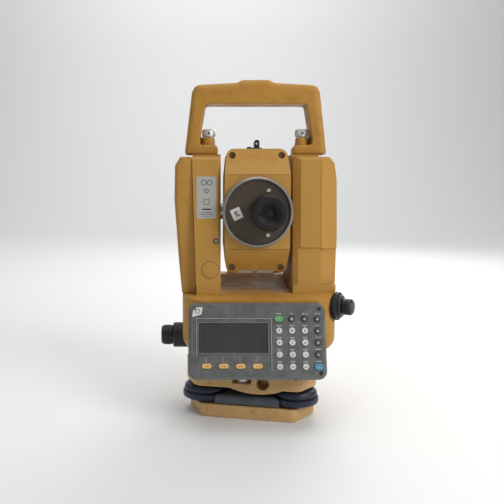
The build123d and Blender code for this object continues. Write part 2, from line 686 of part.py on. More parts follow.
def tangent_knob(start, direction):
    """Tangent screw: a knob beyond the clamp, and its shaft through the stub."""
    z0 = CONTROL_BARREL[1] + CLAMP_T + 0.7 + LOOSE
    z1 = z0 + TANGENT_T
    knob = [
        (0, z0),
        (TANGENT_R - 0.8, z0),
        (TANGENT_R, z0 + 0.8),
        (TANGENT_R, z1 - 1.6),
        (TANGENT_R - 1.4, z1),
        (0, z1),
    ]
    shaft = rod_z(TANGENT_SHAFT_R, CONTROL_BARREL[0] - 4, z0 + 1)
    return along(start, direction, turned(knob) + shaft)


def make_controls():
    """Horizontal and vertical clamps and tangents, and the optical plummet."""
    sets = {"h": (CONTROL_START, control_axis()), "v": (V_CONTROL_START, (0, 1, 0))}
    plummet = rod_x(PLUMMET_R, -PLUMMET_OUT, -PLUMMET_IN, PLUMMET_Y, PLUMMET_Z)
    plummet = chamfer(plummet.edges().sort_by(Axis.X)[0], 1.2)
    plummet -= rod_x(PLUMMET_SPIGOT_R + 0.15, -PLUMMET_OUT - 1, -PLUMMET_IN - 6, PLUMMET_Y, PLUMMET_Z)
    save("control_housings", *[control_barrel(*place) for place in sets.values()], plummet)
    for name, place in sets.items():
        save(f"{name}_clamp", clamp_disc(*place))
        save(f"{name}_tangent", tangent_knob(*place))
    z0 = PLUMMET_OUT + LOOSE
    z1 = PLUMMET_EYE_END
    eye = [
        (0, z0),
        (PLUMMET_EYE_R - 0.8, z0),
        (PLUMMET_EYE_R, z0 + 0.8),
        (PLUMMET_EYE_R, z1 - 2.0),
        (PLUMMET_EYE_R - 1.4, z1),
        (4.5, z1),
        (3.0, z1 - 3.0),
        (0, z1 - 3.0),
    ]
    eyepiece = turned(eye) + rod_z(PLUMMET_SPIGOT_R, z0 - 9, z0 + 1)
    save("plummet_eyepiece", along((0, PLUMMET_Y, PLUMMET_Z), (-1, 0, 0), eyepiece))


def plate_level():
    """Tube level on the rear ledge: a holder, and the vial lying in it."""
    y0, y1 = PLATE_LEVEL_Y
    z0 = FLOOR_Z
    axis_z = z0 + PLATE_LEVEL_H - VIAL_R + 0.4
    holder = block(-PLATE_LEVEL_HALF, PLATE_LEVEL_HALF, y0, y1, z0, z0 + PLATE_LEVEL_H)
    holder = fillet(holder.edges().filter_by(Axis.Z), 3)
    middle = (y0 + y1) / 2
    length = PLATE_LEVEL_HALF - 5
    holder -= rod_x(VIAL_R, -length, length, middle, axis_z)
    holder -= block(-length, length, middle - VIAL_R, middle + VIAL_R, axis_z, z0 + 20)
    vial = rod_x(VIAL_R, -length, length, middle, axis_z)
    save("plate_level", holder, vial)


# ---- keyboard ----
PANEL = Plane(
    origin=PANEL_ORIGIN,
    x_dir=(1, 0, 0),
    z_dir=(0, -cos(radians(PANEL_TILT)), sin(radians(PANEL_TILT))),
)


def on_panel(x, y, solid):
    """Place a solid modelled up Z at a point of the panel, Z pointing out of it."""
    return PANEL * (Pos(x, y, 0) * solid)


def oval(width, height, z0, z1):
    """Upright solid with a slot outline."""
    return extrude(Plane.XY.offset(z0) * SlotOverall(width, height), z1 - z0)


def key_shape(size, grow, z0, z1):
    """Round or oval key section, grown by a margin."""
    if size is None:
        return rod_z(KEY_R + grow, z0, z1)
    return oval(size[0] + 2 * grow, size[1] + 2 * grow, z0, z1)


def key_layout():
    """Each key's node name with its place on the panel and its outline (None is round)."""
    rows = (
        ("power", "star", "left", "right"),
        ("7", "8", "9", "up"),
        ("4", "5", "6", "down"),
        ("1", "2", "3", "esc"),
        ("0", "dot", "minus", "enter"),
    )
    ovals = ("power", "enter")
    keys = {}
    for row, names in enumerate(rows):
        for column, name in enumerate(names):
            x = KEY_GRID[0] + column * KEY_PITCH[0]
            y = KEY_GRID[1] - row * KEY_PITCH[1]
            keys[f"key_{name}"] = (x, y, OVAL_SIZE if name in ovals else None)
    for i in range(4):
        keys[f"key_f{i + 1}"] = (FKEY_AT[0] + i * FKEY_PITCH, FKEY_AT[1], FKEY_SIZE)
    return keys


def keyboard_housing():
    """Wedge-shaped keyboard housing on the front of the lower housing, hollow behind its front wall."""
    body = extrude(Plane.XY.offset(-45) * RectangleRounded(PANEL_W, PANEL_H, PANEL_CORNER_R), 45)
    body = chamfer(body.faces().sort_by(Axis.Z)[-1].outer_wire().edges(), PANEL_EDGE)
    body = PANEL * body
    body &= block(-90, 90, -120, -HOUSING_FRONT, 30, 150)
    body -= rod_z(TRIBRACH_ROOM, 0, SKIRT_Z)
    inside = PANEL_W / 2 - PANEL_SIDE_WALL
    cavity = block(-inside, inside, -30, 28, -PANEL_WALL - PANEL_CAVITY, -PANEL_WALL)
    body -= PANEL * cavity
    width, height = WINDOW_W + 2 * SEAM, WINDOW_H + 2 * SEAM
    body -= on_panel(*WINDOW_AT, Pos(0, 0, 1) * Box(width, height, 2 * WINDOW_RECESS + 2))
    for x, y, size in key_layout().values():
        body -= on_panel(x, y, key_shape(size, LOOSE, -PANEL_WALL - 1, 2))
    axis = control_axis()
    body -= along(CONTROL_START, axis, rod_z(CONTROL_BARREL_R + SEAM, 0, CONTROL_BARREL[1]))
    body -= along(CONTROL_START, axis, rod_z(CLAMP_R + CLAMP_ROOM, CONTROL_BARREL[1] - 1, 80))
    return body


def key(x, y, size):
    """Key cap with a lip that holds it behind the front wall."""
    lip_top = -PANEL_WALL - LOOSE
    cap = key_shape(size, 0, lip_top - 0.5, KEY_PROUD)
    cap = chamfer(cap.edges().group_by(Axis.Z)[-1], 0.4)
    return on_panel(x, y, cap + key_shape(size, KEY_LIP, lip_top - KEY_LIP_T, lip_top))


def make_keyboard():
    save("keypad_housing", keyboard_housing())
    floor = -WINDOW_RECESS
    pane = Pos(0, 0, floor + WINDOW_T / 2) * Box(WINDOW_W, WINDOW_H, WINDOW_T)
    save("display_window", on_panel(*WINDOW_AT, pane))
    for name, place in key_layout().items():
        save(name, key(*place))


# ---- battery ----
def make_battery():
    """Battery pack against the left standard, with its latch button in the top."""
    bottom, top = LEFT_OUTER
    lean = (top - bottom) / (STANDARD_TOP - FLOOR_Z)
    inner_low = bottom + lean * (BATTERY_BOTTOM - FLOOR_Z) + SEAM
    last = BATTERY_OUTER[-1][1]
    inner_high = bottom + lean * (last - FLOOR_Z) + SEAM
    outline = [(-inner_low, BATTERY_BOTTOM)] + [(-x, z) for x, z in BATTERY_OUTER] + [(-inner_high, last)]
    pack = prism_y(outline, -BATTERY_FRONT, BATTERY_BACK)
    outer = pack.faces().filter_by(Plane.XZ)
    for face in outer:
        edges = face.edges().sort_by(Axis.X)[:3]
        pack = chamfer([e for e in pack.edges() if any(e.is_same(f) for f in edges)], BATTERY_EDGE)
    x0, x1 = LATCH_X
    y0, y1 = LATCH_Y
    pocket_floor = last + LATCH_PROUD - LATCH_H - LATCH_TRAVEL - 0.5
    pack -= block(x0, x1, y0, y1, pocket_floor, last + 1)
    save("battery_pack", pack)
    latch = block(x0 + LOOSE, x1 - LOOSE, y0 + LOOSE, y1 - LOOSE, last + LATCH_PROUD - LATCH_H, last + LATCH_PROUD)
    save("battery_latch", chamfer(latch.edges().group_by(Axis.Z)[-1], 0.6))


# ---- handle ----
def handle_outline():
    """Front outline of the handle as (x, z) points, window and feet included."""
    bottom = HANDLE_SEAT + SEAM
    right = [
        (HANDLE_FOOT_IN, bottom),
        (HANDLE_FOOT_OUT, bottom),
        (HANDLE_TOP_HALF + 0.9, HANDLE_TOP - 7),
        (HANDLE_TOP_HALF - 2.2, HANDLE_TOP - 1.6),
        (HANDLE_TOP_HALF - 6, HANDLE_TOP),
        (HANDLE_BUMP_HALF + 5, HANDLE_TOP + 2.2),
        (HANDLE_BUMP_HALF, HANDLE_BUMP),
    ]
    window = [
        (-HANDLE_FOOT_IN, bottom),
        (-HANDLE_FOOT_IN, HANDLE_SHOULDER_Z - 1),
        (-HANDLE_FOOT_IN - 3.2, HANDLE_SHOULDER_Z + 4),
        (-HANDLE_FOOT_IN - 3.4, HANDLE_SHELF_Z),
        (-HANDLE_SHELF_OUT, HANDLE_SHELF_Z),
        (-HANDLE_WINDOW_HALF, HANDLE_WINDOW_TOP),
    ]
    left = [(-x, z) for x, z in reversed(right)]
    opposite = [(-x, z) for x, z in reversed(window)]
    return right + left[:-1] + window + opposite[:-1]


def make_handle():
    """Carrying handle, and the two lock screws captive in its feet."""
    half = HANDLE_HALF_Y
    bar = prism_y(handle_outline(), -half, half)
    edges = [e for e in bar.edges() if abs(abs(e.center().Y) - half) < 0.01 and outer_edge(e)]
    bar = fillet(edges, HANDLE_EDGE_R)
    top = HANDLE_SHELF_Z
    for side in (-1, 1):
        x = side * LOCK_SCREW_X
        inner = block(x - 9, x + 9, -half - 1, half + 1, HANDLE_SHOULDER_Z + 2, top + 1)
        keep = rod_z(LOCK_SCREW_R + 0.6, HANDLE_SHOULDER_Z, top + 2, x)
        leg_in = side * (HANDLE_SHELF_OUT + 1.1)
        leg = block(min(leg_in, side * 120), max(leg_in, side * 120), -30, 30, STANDARD_TOP, HANDLE_BUMP)
        bar -= inner - keep - leg
        bar -= rod_z(LOCK_HOLE_R, STANDARD_TOP, top + 1, x)
    save("handle", bar)
    for name, side in (("left", -1), ("right", 1)):
        screw = rod_z(LOCK_SCREW_R, top + LOOSE, top + LOOSE + LOCK_SCREW_H)
        screw = chamfer(screw.edges().group_by(Axis.Z)[-1], 0.8)
        screw += rod_z(LOCK_SHANK_R, HANDLE_SEAT - LOCK_SHANK_DEPTH, top + 1)
        screw -= rod_y(1.1, -LOCK_SCREW_R - 1, 3 - LOCK_SCREW_R, 0, top + LOOSE + LOCK_SCREW_H / 2)
        save(f"handle_screw_{name}", Pos(side * LOCK_SCREW_X, 0, 0) * screw)


def outer_edge(edge):
    """True for an edge of the handle's outer outline above its feet."""
    c = edge.center()
    reach = HANDLE_FOOT_OUT - (HANDLE_FOOT_OUT - HANDLE_TOP_HALF) * (c.Z - STANDARD_TOP) / 72
    return c.Z > HANDLE_SEAT + 2 and (c.Z > HANDLE_TOP - 8 or abs(c.X) > reach - 6)


# ---- telescope ----
def tube_outline():
    """Side outline of the telescope as (y, z) points about the trunnion axis."""
    front, back = TUBE_FRONT, TUBE_BACK
    return [
        (-front, -BAND_HALF),
        (-front, BAND_HALF),
        (COVER_SLOPE_FRONT - front, COVER_END),
        (back - COVER_SLOPE_BACK, COVER_END),
        (back, BAND_HALF),
        (back, -BAND_HALF),
        (back - COVER_SLOPE_BACK, -COVER_END),
        (COVER_SLOPE_FRONT - front, -COVER_END),
    ]


def tube_front_outline():
    """Front outline of the telescope as (x, z) points about the trunnion axis."""
    corners = [(TUBE_HALF_X, BAND_HALF), (END_HALF_X, COVER_END)]
    right = [(x, -z) for x, z in reversed(corners)] + corners
    return right + [(-x, z) for x, z in reversed(right)]


def tube_solid():
    """Whole outside shape of the telescope's casing."""
    side = prism_x(tube_outline(), -TUBE_HALF_X, TUBE_HALF_X)
    front = prism_y(tube_front_outline(), -TUBE_FRONT, TUBE_BACK)
    corners = [e for e in front.edges().filter_by(Axis.Y) if abs(e.center().Z) > COVER_END - 1]
    return side & fillet(corners, END_CORNER_R)


def telescope_covers(tube):
    """Top and bottom covers with sunk wells for their screws."""
    high = TUBE_BACK + 2
    slab = block(-50, 50, -high, high, BAND_HALF, COVER_END + 1)
    cut = -TUBE_FRONT + COVER_SLOPE_FRONT / 2 + SCREW_WELL_FLOOR
    covers = []
    for side in (1, -1):
        cover = tube & (slab if side > 0 else Rot(0, 180, 0) * slab)
        for x in (-SCREW_WELL_X, SCREW_WELL_X):
            cover -= rod_y(SCREW_WELL_R, -high, cut, x, side * SCREW_WELL_Z)
            cover -= rod_y(SCREW_WELL_R, -cut + 4, high, x, side * SCREW_WELL_Z)
        covers.append(cover)
    return covers


def telescope_body(tube):
    """Middle of the telescope, bored through, with the objective barrel behind and the eyepiece hole in front."""
    half = BAND_HALF - SEAM
    body = tube & block(-50, 50, -50, 60, -half, half)
    body += rod_y(BARREL_R, TUBE_BACK - 1, BARREL_END)
    body -= rod_y(TUBE_BORE_R, TUBE_WALL - TUBE_FRONT, BARREL_END + 1)
    body -= rod_y(OBJECTIVE_R, OBJECTIVE_SEAT, BARREL_END + 1)
    return body - rod_y(EYE_SPIGOT_R + 0.15, -TUBE_FRONT - 1, TUBE_WALL - TUBE_FRONT + 1, EYE_X)


def eyepiece_front(points):
    """Turned solid about the eyepiece's axis, from (radius, distance forward) points."""
    return along((EYE_X, 0, 0), (0, -1, 0), turned(points))


def eyepiece():
    """Eyepiece: rubber-edged body with a spigot, and its lens."""
    plate = PLATE_FRONT + LOOSE
    bore = EYE_BORE_R
    body = eyepiece_front([
        (bore, TUBE_FRONT - TUBE_WALL + 1),
        (EYE_SPIGOT_R, TUBE_FRONT - TUBE_WALL + 1),
        (EYE_SPIGOT_R, plate),
        (EYE_R - 0.6, plate),
        (EYE_R, plate + 1),
        (EYE_R, EYE_END - 8),
        (EYE_R - 0.8, EYE_END - 7),
        (EYE_R - 0.6, EYE_END - 3),
        (EYE_FACE_R, EYE_END),
        (EYE_BORE_R + 5.5, EYE_END),
        (EYE_BORE_R + 0.5, EYE_END - 4),
        (bore, EYE_END - 4),
    ])
    lens = eyepiece_front([(0, EYE_END - 7 - EYE_LENS_T), (bore, EYE_END - 7 - EYE_LENS_T),
                           (bore, EYE_END - 7), (0, EYE_END - 6.2)])
    return body, lens


def peep_sight():
    """Peep sight on the top cover: base, sighting tube and its low rest beside it."""
    z0 = COVER_END
    y0 = -2.0
    base = block(SIGHT_X - 6, SIGHT_X + 5, y0, y0 + SIGHT_LENGTH + 5, z0, z0 + SIGHT_BASE_H)
    tube = block(SIGHT_X - SIGHT_W / 2, SIGHT_X + SIGHT_W / 2, y0 + 2, y0 + 2 + SIGHT_LENGTH, z0 + 1, z0 + 2 + SIGHT_H)
    tube = fillet(tube.edges().filter_by(Axis.Y).group_by(Axis.Z)[-1], 2.0)
    tube -= rod_y(1.3, y0 - 1, y0 + 30, SIGHT_X, z0 + SIGHT_H - 1.4)
    rest = block(SIGHT_X - 10, SIGHT_X - 6, y0 + 3, y0 + 13, z0, z0 + SIGHT_BASE_H + 1)
    return base + tube + rest


def make_telescope():
    """Every piece of the telescope, modelled about the trunnion axis and lifted into place."""
    up = Pos(0, 0, TRUNNION_Z)
    tube = tube_solid()
    save("telescope_body", up * telescope_body(tube))
    save("telescope_covers", *[up * cover for cover in telescope_covers(tube)])
    save("objective_lens", up * rod_y(OBJECTIVE_R, OBJECTIVE_SEAT, OBJECTIVE_SEAT + OBJECTIVE_T))
    save("peep_sight", up * peep_sight())
    ring_bore = RING_R - RING_WALL
    plate = rod_y(ring_bore - LOOSE, -PLATE_FRONT, -TUBE_FRONT)
    plate -= rod_y(EYE_SPIGOT_R + 0.15, -PLATE_FRONT - 1, 1 - TUBE_FRONT, EYE_X)
    save("eyepiece_plate", up * plate)
    ring = rod_y(RING_R, -RING_END, -TUBE_FRONT - LOOSE)
    ring = chamfer(ring.edges().sort_by(Axis.Y)[0], 1.2)
    ring -= rod_y(ring_bore, -RING_END - 1, 1 - TUBE_FRONT)
    save("focus_ring", up * ring)
    save("eyepiece", *[up * piece for piece in eyepiece()])
    cell = rod_y(FOCUS_CELL_R, FOCUS_CELL_Y, FOCUS_CELL_Y + FOCUS_CELL_T)
    cell -= rod_y(FOCUS_CELL_R - 3, FOCUS_CELL_Y - 1, FOCUS_CELL_Y + FOCUS_CELL_T + 1)
    glass = rod_y(FOCUS_CELL_R - 3, FOCUS_CELL_Y + 2, FOCUS_CELL_Y + FOCUS_CELL_T - 2)
    save("focus_lens", up * cell, up * glass)
    left = rod_x(AXLE_R, -STANDARD_GAP - AXLE_DEPTH + 1, -TUBE_HALF_X)
    right = rod_x(AXLE_R, TUBE_HALF_X, V_CIRCLE_X + V_CIRCLE_T)
    right += rod_x(V_CIRCLE_R, V_CIRCLE_X, V_CIRCLE_X + V_CIRCLE_T)
    save("trunnion_axle", up * left, up * right)


make_tribrach()
make_spindle()
save("lower_housing", lower_housing())
save("left_standard", left_standard())
save("right_standard", right_standard())
save("circle_cover", circle_cover())
make_controls()
plate_level()
make_keyboard()
make_battery()
make_handle()
make_telescope()
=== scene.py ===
"""Surveying total station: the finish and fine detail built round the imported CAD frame.

Everything is in metres in the frame's own axes: +Z up the vertical axis, the keyboard faces -Y. Each
sub-assembly is a class that reads its places from the frame, builds its pieces and dresses them.
"""

from __future__ import annotations

import json
import logging
import math
from dataclasses import dataclass, field
from enum import Enum
from itertools import product
from typing import Callable, Sequence

import bmesh
import bpy
from bmesh.types import BMesh, BMVert
from bpy.types import Material, Mesh, Node, NodeSocket, Object
from mathutils import Matrix, Vector
from mathutils.bvhtree import BVHTree


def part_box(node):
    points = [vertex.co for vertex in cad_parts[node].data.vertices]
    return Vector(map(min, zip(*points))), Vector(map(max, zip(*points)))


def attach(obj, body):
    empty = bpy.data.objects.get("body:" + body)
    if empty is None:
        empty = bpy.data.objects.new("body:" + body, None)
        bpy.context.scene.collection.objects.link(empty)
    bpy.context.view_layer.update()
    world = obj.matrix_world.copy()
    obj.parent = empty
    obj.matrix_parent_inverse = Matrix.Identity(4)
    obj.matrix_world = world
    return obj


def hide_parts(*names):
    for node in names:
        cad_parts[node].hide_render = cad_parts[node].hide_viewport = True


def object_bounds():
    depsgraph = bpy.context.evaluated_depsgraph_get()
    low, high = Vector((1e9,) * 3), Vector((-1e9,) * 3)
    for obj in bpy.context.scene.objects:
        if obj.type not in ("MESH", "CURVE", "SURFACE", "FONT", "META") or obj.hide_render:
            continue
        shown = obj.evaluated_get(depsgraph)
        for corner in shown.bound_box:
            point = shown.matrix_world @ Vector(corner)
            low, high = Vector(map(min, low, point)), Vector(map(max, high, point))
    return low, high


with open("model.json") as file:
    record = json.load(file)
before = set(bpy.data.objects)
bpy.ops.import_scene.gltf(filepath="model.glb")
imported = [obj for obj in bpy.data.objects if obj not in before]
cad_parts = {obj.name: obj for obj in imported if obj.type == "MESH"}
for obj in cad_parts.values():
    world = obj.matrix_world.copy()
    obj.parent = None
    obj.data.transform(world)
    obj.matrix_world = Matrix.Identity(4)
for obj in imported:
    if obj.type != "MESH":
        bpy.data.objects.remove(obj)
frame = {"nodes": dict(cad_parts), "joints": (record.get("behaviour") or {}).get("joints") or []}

LOG = logging.getLogger("total_station")
MM = 0.001
CAD_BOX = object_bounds()
Point = tuple[float, float, float]
Colour = tuple[float, float, float]
Outline = Sequence[tuple[float, float]]
UP = Vector((0, 0, 1))
FRONT = Vector((0, -1, 0))
SQUARE = ((-1, -1), (1, -1), (1, 1), (-1, 1))
FAR = 0.3  # a ray that starts this far from the axis starts outside the object
MERGE = 2e-6  # corners closer than this are one


# ---- Shader node groups ----
class NodeTree:
    """Small wrapper that adds nodes and links to a shader or geometry node tree."""

    def __init__(self, tree: bpy.types.NodeTree) -> None:
        """Wrap a tree.

        Args:
            tree: The node tree to build in.
        """
        self.tree = tree
        self.column = 0

    def add(self, kind: str, inputs: dict | None = None, **props: object) -> Node:
        """Add a node, set its properties and input values.

        Args:
            kind: Blender's node type name.
            inputs: Socket name or index to a value, or to an output socket to link from.
            **props: Node properties to set first.

        Returns:
            The new node.
        """
        node = self.tree.nodes.new(kind)
        self.column += 1
        node.location = (self.column * 180, 0)
        for name, value in props.items():
            setattr(node, name, value)
        for key, value in (inputs or {}).items():
            if isinstance(value, NodeSocket):
                self.tree.links.new(value, node.inputs[key])
            else:
                node.inputs[key].default_value = value
        return node

    def math(self, operation: str, a: object, b: object = 0.0, clamp: bool = False) -> NodeSocket:
        """Add a Math node and return its output."""
        node = self.add("ShaderNodeMath", {0: a, 1: b}, operation=operation, use_clamp=clamp)
        return node.outputs[0]

    def remap(self, value: object, low: float, high: float, to: tuple = (0.0, 1.0)) -> NodeSocket:
        """Add a smooth Map Range node and return its output."""
        node = self.add(
            "ShaderNodeMapRange",
            {"Value": value, "From Min": low, "From Max": high, "To Min": to[0], "To Max": to[1]},
            interpolation_type="SMOOTHSTEP",
        )
        return node.outputs[0]

    def blend(self, factor: object, a: object, b: object, mode: str = "MIX") -> NodeSocket:
        """Add a colour Mix node and return its output."""
        node = self.add("ShaderNodeMix", data_type="RGBA", blend_type=mode)
        for index, value in ((0, factor), (6, a), (7, b)):
            if isinstance(value, NodeSocket):
                self.tree.links.new(value, node.inputs[index])
            elif index:
                node.inputs[index].default_value = (*value[:3], 1.0)
            else:
                node.inputs[index].default_value = value
        return node.outputs[2]


def new_group(name: str, inputs: dict[str, float], outputs: Sequence[str]) -> tuple[NodeTree, dict, dict]:
    """Start a shader node group with float sockets.

    Args:
        name: Name of the group.
        inputs: Input socket names with their defaults.
        outputs: Output socket names.

    Returns:
        The wrapped tree, its group input sockets and its group output sockets, by name.
    """
    tree = bpy.data.node_groups.new(name, "ShaderNodeTree")
    for label, default in inputs.items():
        socket = tree.interface.new_socket(label, in_out="INPUT", socket_type="NodeSocketFloat")
        socket.default_value = default
    for label in outputs:
        tree.interface.new_socket(label, in_out="OUTPUT", socket_type="NodeSocketFloat")
    net = NodeTree(tree)
    start = net.add("NodeGroupInput")
    end = net.add("NodeGroupOutput")
    return net, {s.name: s for s in start.outputs}, {s.name: s for s in end.inputs}


def surface_group() -> bpy.types.NodeTree:
    """Moulded or painted surface: soft patches, handling marks, dust and a fine grain.

    Returns:
        The group, with outputs Mottle, Smudge, Speck and Height.
    """
    inputs = {"Patch Scale": 18.0, "Grain Scale": 900.0, "Grain Depth": 0.5, "Speck Scale": 260.0}
    net, given, out = new_group("moulded surface", inputs, ("Mottle", "Smudge", "Speck", "Height"))
    where = net.add("ShaderNodeTexCoord").outputs["Object"]
    patch = net.add("ShaderNodeTexNoise", {"Vector": where, "Scale": given["Patch Scale"], "Detail": 4.0})
    smear = net.add("ShaderNodeMapping", {"Vector": where, "Scale": (1.0, 1.0, 0.45)})
    smudge_scale = net.math("MULTIPLY", given["Patch Scale"], 2.6)
    smudge = net.add(
        "ShaderNodeTexNoise",
        {"Vector": smear.outputs[0], "Scale": smudge_scale, "Detail": 5.0, "Roughness": 0.62, "Distortion": 0.6},
    )
    speck = net.add("ShaderNodeTexNoise", {"Vector": where, "Scale": given["Speck Scale"], "Detail": 2.0})
    grain = net.add("ShaderNodeTexNoise", {"Vector": where, "Scale": given["Grain Scale"], "Detail": 3.0})
    pebble = net.add(
        "ShaderNodeTexVoronoi", {"Vector": where, "Scale": given["Grain Scale"]}, feature="SMOOTH_F1"
    )
    pebbled = net.math("MULTIPLY", pebble.outputs["Distance"], 0.55)
    height = net.math("ADD", grain.outputs["Fac"], pebbled)
    links = net.tree.links
    links.new(net.remap(patch.outputs["Fac"], 0.32, 0.68), out["Mottle"])
    links.new(net.remap(smudge.outputs["Fac"], 0.46, 0.72), out["Smudge"])
    links.new(net.remap(speck.outputs["Fac"], 0.70, 0.78), out["Speck"])
    links.new(net.math("MULTIPLY", height, given["Grain Depth"]), out["Height"])
    return net.tree


def wear_and_shade_group() -> bpy.types.NodeTree:
    """Rubbed outer edges, and inner corners darkened as painted shade mixed with dirt, broken up by noise.

    Returns:
        The group, with outputs Edge and the inner-corner mask (painted shade mixed with dirt).
    """
    net, given, out = new_group("edge wear", {"Breakup Scale": 120.0, "Reach": 0.03}, ("Edge", "Corner Dirt And Shade"))
    bend = net.add("ShaderNodeNewGeometry").outputs["Pointiness"]
    where = net.add("ShaderNodeTexCoord").outputs["Object"]
    noise = net.add("ShaderNodeTexNoise", {"Vector": where, "Scale": given["Breakup Scale"], "Detail": 5.0})
    ragged = net.math("MULTIPLY", net.math("SUBTRACT", noise.outputs["Fac"], 0.5), 0.09)
    top = net.math("ADD", net.math("ADD", bend, ragged), -0.5)
    # Inner corners: painted shade in hollows, mixed with dirt.
    bottom = net.math("SUBTRACT", net.math("SUBTRACT", 0.5, bend), ragged)
    links = net.tree.links
    links.new(net.math("DIVIDE", top, given["Reach"], clamp=True), out["Edge"])
    links.new(net.math("DIVIDE", bottom, given["Reach"], clamp=True), out["Corner Dirt And Shade"])
    return net.tree


def scratch_group() -> bpy.types.NodeTree:
    """Fine hairline scratches in two directions.

    Returns:
        The group, with the output Mask.
    """
    net, given, out = new_group("hairline scratches", {"Scale": 60.0, "Density": 0.5}, ("Mask",))
    where = net.add("ShaderNodeTexCoord").outputs["Object"]
    layers = []
    for turn, stretch in ((0.5, (1.0, 22.0, 3.0)), (2.1, (18.0, 1.0, 2.0))):
        place = net.add("ShaderNodeMapping", {"Vector": where, "Rotation": (turn, turn * 0.7, turn), "Scale": stretch})
        noise = net.add("ShaderNodeTexNoise", {"Vector": place.outputs[0], "Scale": given["Scale"], "Detail": 1.5})
        layers.append(net.remap(noise.outputs["Fac"], 0.70, 0.76))
    both = net.math("MAXIMUM", layers[0], layers[1])
    net.tree.links.new(net.math("MULTIPLY", both, given["Density"]), out["Mask"])
    return net.tree


class Groups:
    """The shader node groups, each built once on first use."""

    def __init__(self) -> None:
        """Start with no groups built."""
        self.built: dict[str, bpy.types.NodeTree] = {}

    def get(self, maker: Callable[[], bpy.types.NodeTree]) -> bpy.types.NodeTree:
        """Return the group that a maker builds, building it the first time."""
        if maker.__name__ not in self.built:
            self.built[maker.__name__] = maker()
        return self.built[maker.__name__]

    def place(self, net: NodeTree, maker: Callable[[], bpy.types.NodeTree], values: dict[str, float]) -> Node:
        """Add a group to a material and set its inputs.

        Args:
            net: The material's wrapped tree.
            maker: Function that builds the group.
            values: Input names with their values.

        Returns:
            The group node.
        """
        return net.add("ShaderNodeGroup", values, node_tree=self.get(maker))


GROUPS = Groups()


# ---- Finishes ----
@dataclass(frozen=True)
class Finish:
    """One finish: its colours and how it is worn.

    Attributes:
        name: Name of the material.
        colour: Main linear colour.
        shade: Colour of the darker patches.
        worn: Colour that rubbed edges show.
        roughness: Mean roughness.
        metallic: Metallic value of the unworn surface.
        patch: How strongly the darker patches show.
        smudge: How strongly handling marks show.
        edge: How strongly rubbed edges show.
        grime_and_shade: How strongly dust specks show, and how dark the painted shade mixed with dirt in inner corners
            is.
        scratch: How strongly scratches show.
        patch_scale: Scale of the patches.
        grain_scale: Scale of the surface grain.
        grain: Depth of the grain bump.
        coat: Clear coat weight.
        specular: Specular level.
    """

    name: str
    colour: Colour
    shade: Colour
    worn: Colour
    roughness: float = 0.5
    metallic: float = 0.0
    patch: float = 0.5
    smudge: float = 0.5
    edge: float = 0.2
    grime_and_shade: float = 0.5
    scratch: float = 0.05
    patch_scale: float = 18.0
    grain_scale: float = 900.0
    grain: float = 0.10
    coat: float = 0.0
    specular: float = 0.5

    def build(self) -> Material:
        """Build the node material.

        Returns:
            The material.
        """
        material = bpy.data.materials.new(self.name)
        material.use_nodes = True
        material.diffuse_color = (*self.colour, 1.0)
        net = NodeTree(material.node_tree)
        shader = material.node_tree.nodes["Principled BSDF"]
        surface = GROUPS.place(
            net, surface_group, {"Patch Scale": self.patch_scale, "Grain Scale": self.grain_scale}
        ).outputs
        wear_and_shade = GROUPS.place(net, wear_and_shade_group, {}).outputs
        scratch = GROUPS.place(net, scratch_group, {"Density": self.scratch}).outputs["Mask"]
        # Dark colour of the dust specks and of the painted shade in inner corners.
        grime_and_shade_colour = tuple(c * 0.35 for c in self.shade)
        colour = net.blend(net.math("MULTIPLY", surface["Mottle"], self.patch), self.colour, self.shade)
        colour = net.blend(net.math("MULTIPLY", surface["Smudge"], self.smudge * 0.5), colour, self.shade)
        colour = net.blend(net.math("MULTIPLY", surface["Speck"], self.grime_and_shade * 0.5), colour, grime_and_shade_colour)
        # Painted shade: inner corners darkened towards the dark colour, mixed with dirt.
        colour = net.blend(net.math("MULTIPLY", wear_and_shade["Corner Dirt And Shade"], self.grime_and_shade), colour, grime_and_shade_colour)
        colour = net.blend(scratch, colour, self.worn)
        colour = net.blend(net.math("MULTIPLY", wear_and_shade["Edge"], self.edge), colour, self.worn)
        rough = net.math("ADD", net.math("MULTIPLY", surface["Smudge"], -0.16 * self.smudge), self.roughness)
        rough = net.math("ADD", rough, net.math("MULTIPLY", surface["Mottle"], 0.08))
        rough = net.math("ADD", rough, net.math("MULTIPLY", wear_and_shade["Corner Dirt And Shade"], 0.2), clamp=True)
        height = net.math("SUBTRACT", surface["Height"], net.math("MULTIPLY", scratch, 0.6))
        bump = net.add("ShaderNodeBump", {"Height": height, "Strength": self.grain, "Distance": 0.0006})
        links = material.node_tree.links
        links.new(colour, shader.inputs["Base Color"])
        links.new(rough, shader.inputs["Roughness"])
        links.new(bump.outputs["Normal"], shader.inputs["Normal"])
        shader.inputs["Metallic"].default_value = self.metallic
        shader.inputs["Coat Weight"].default_value = self.coat
        shader.inputs["Specular IOR Level"].default_value = self.specular
        return material


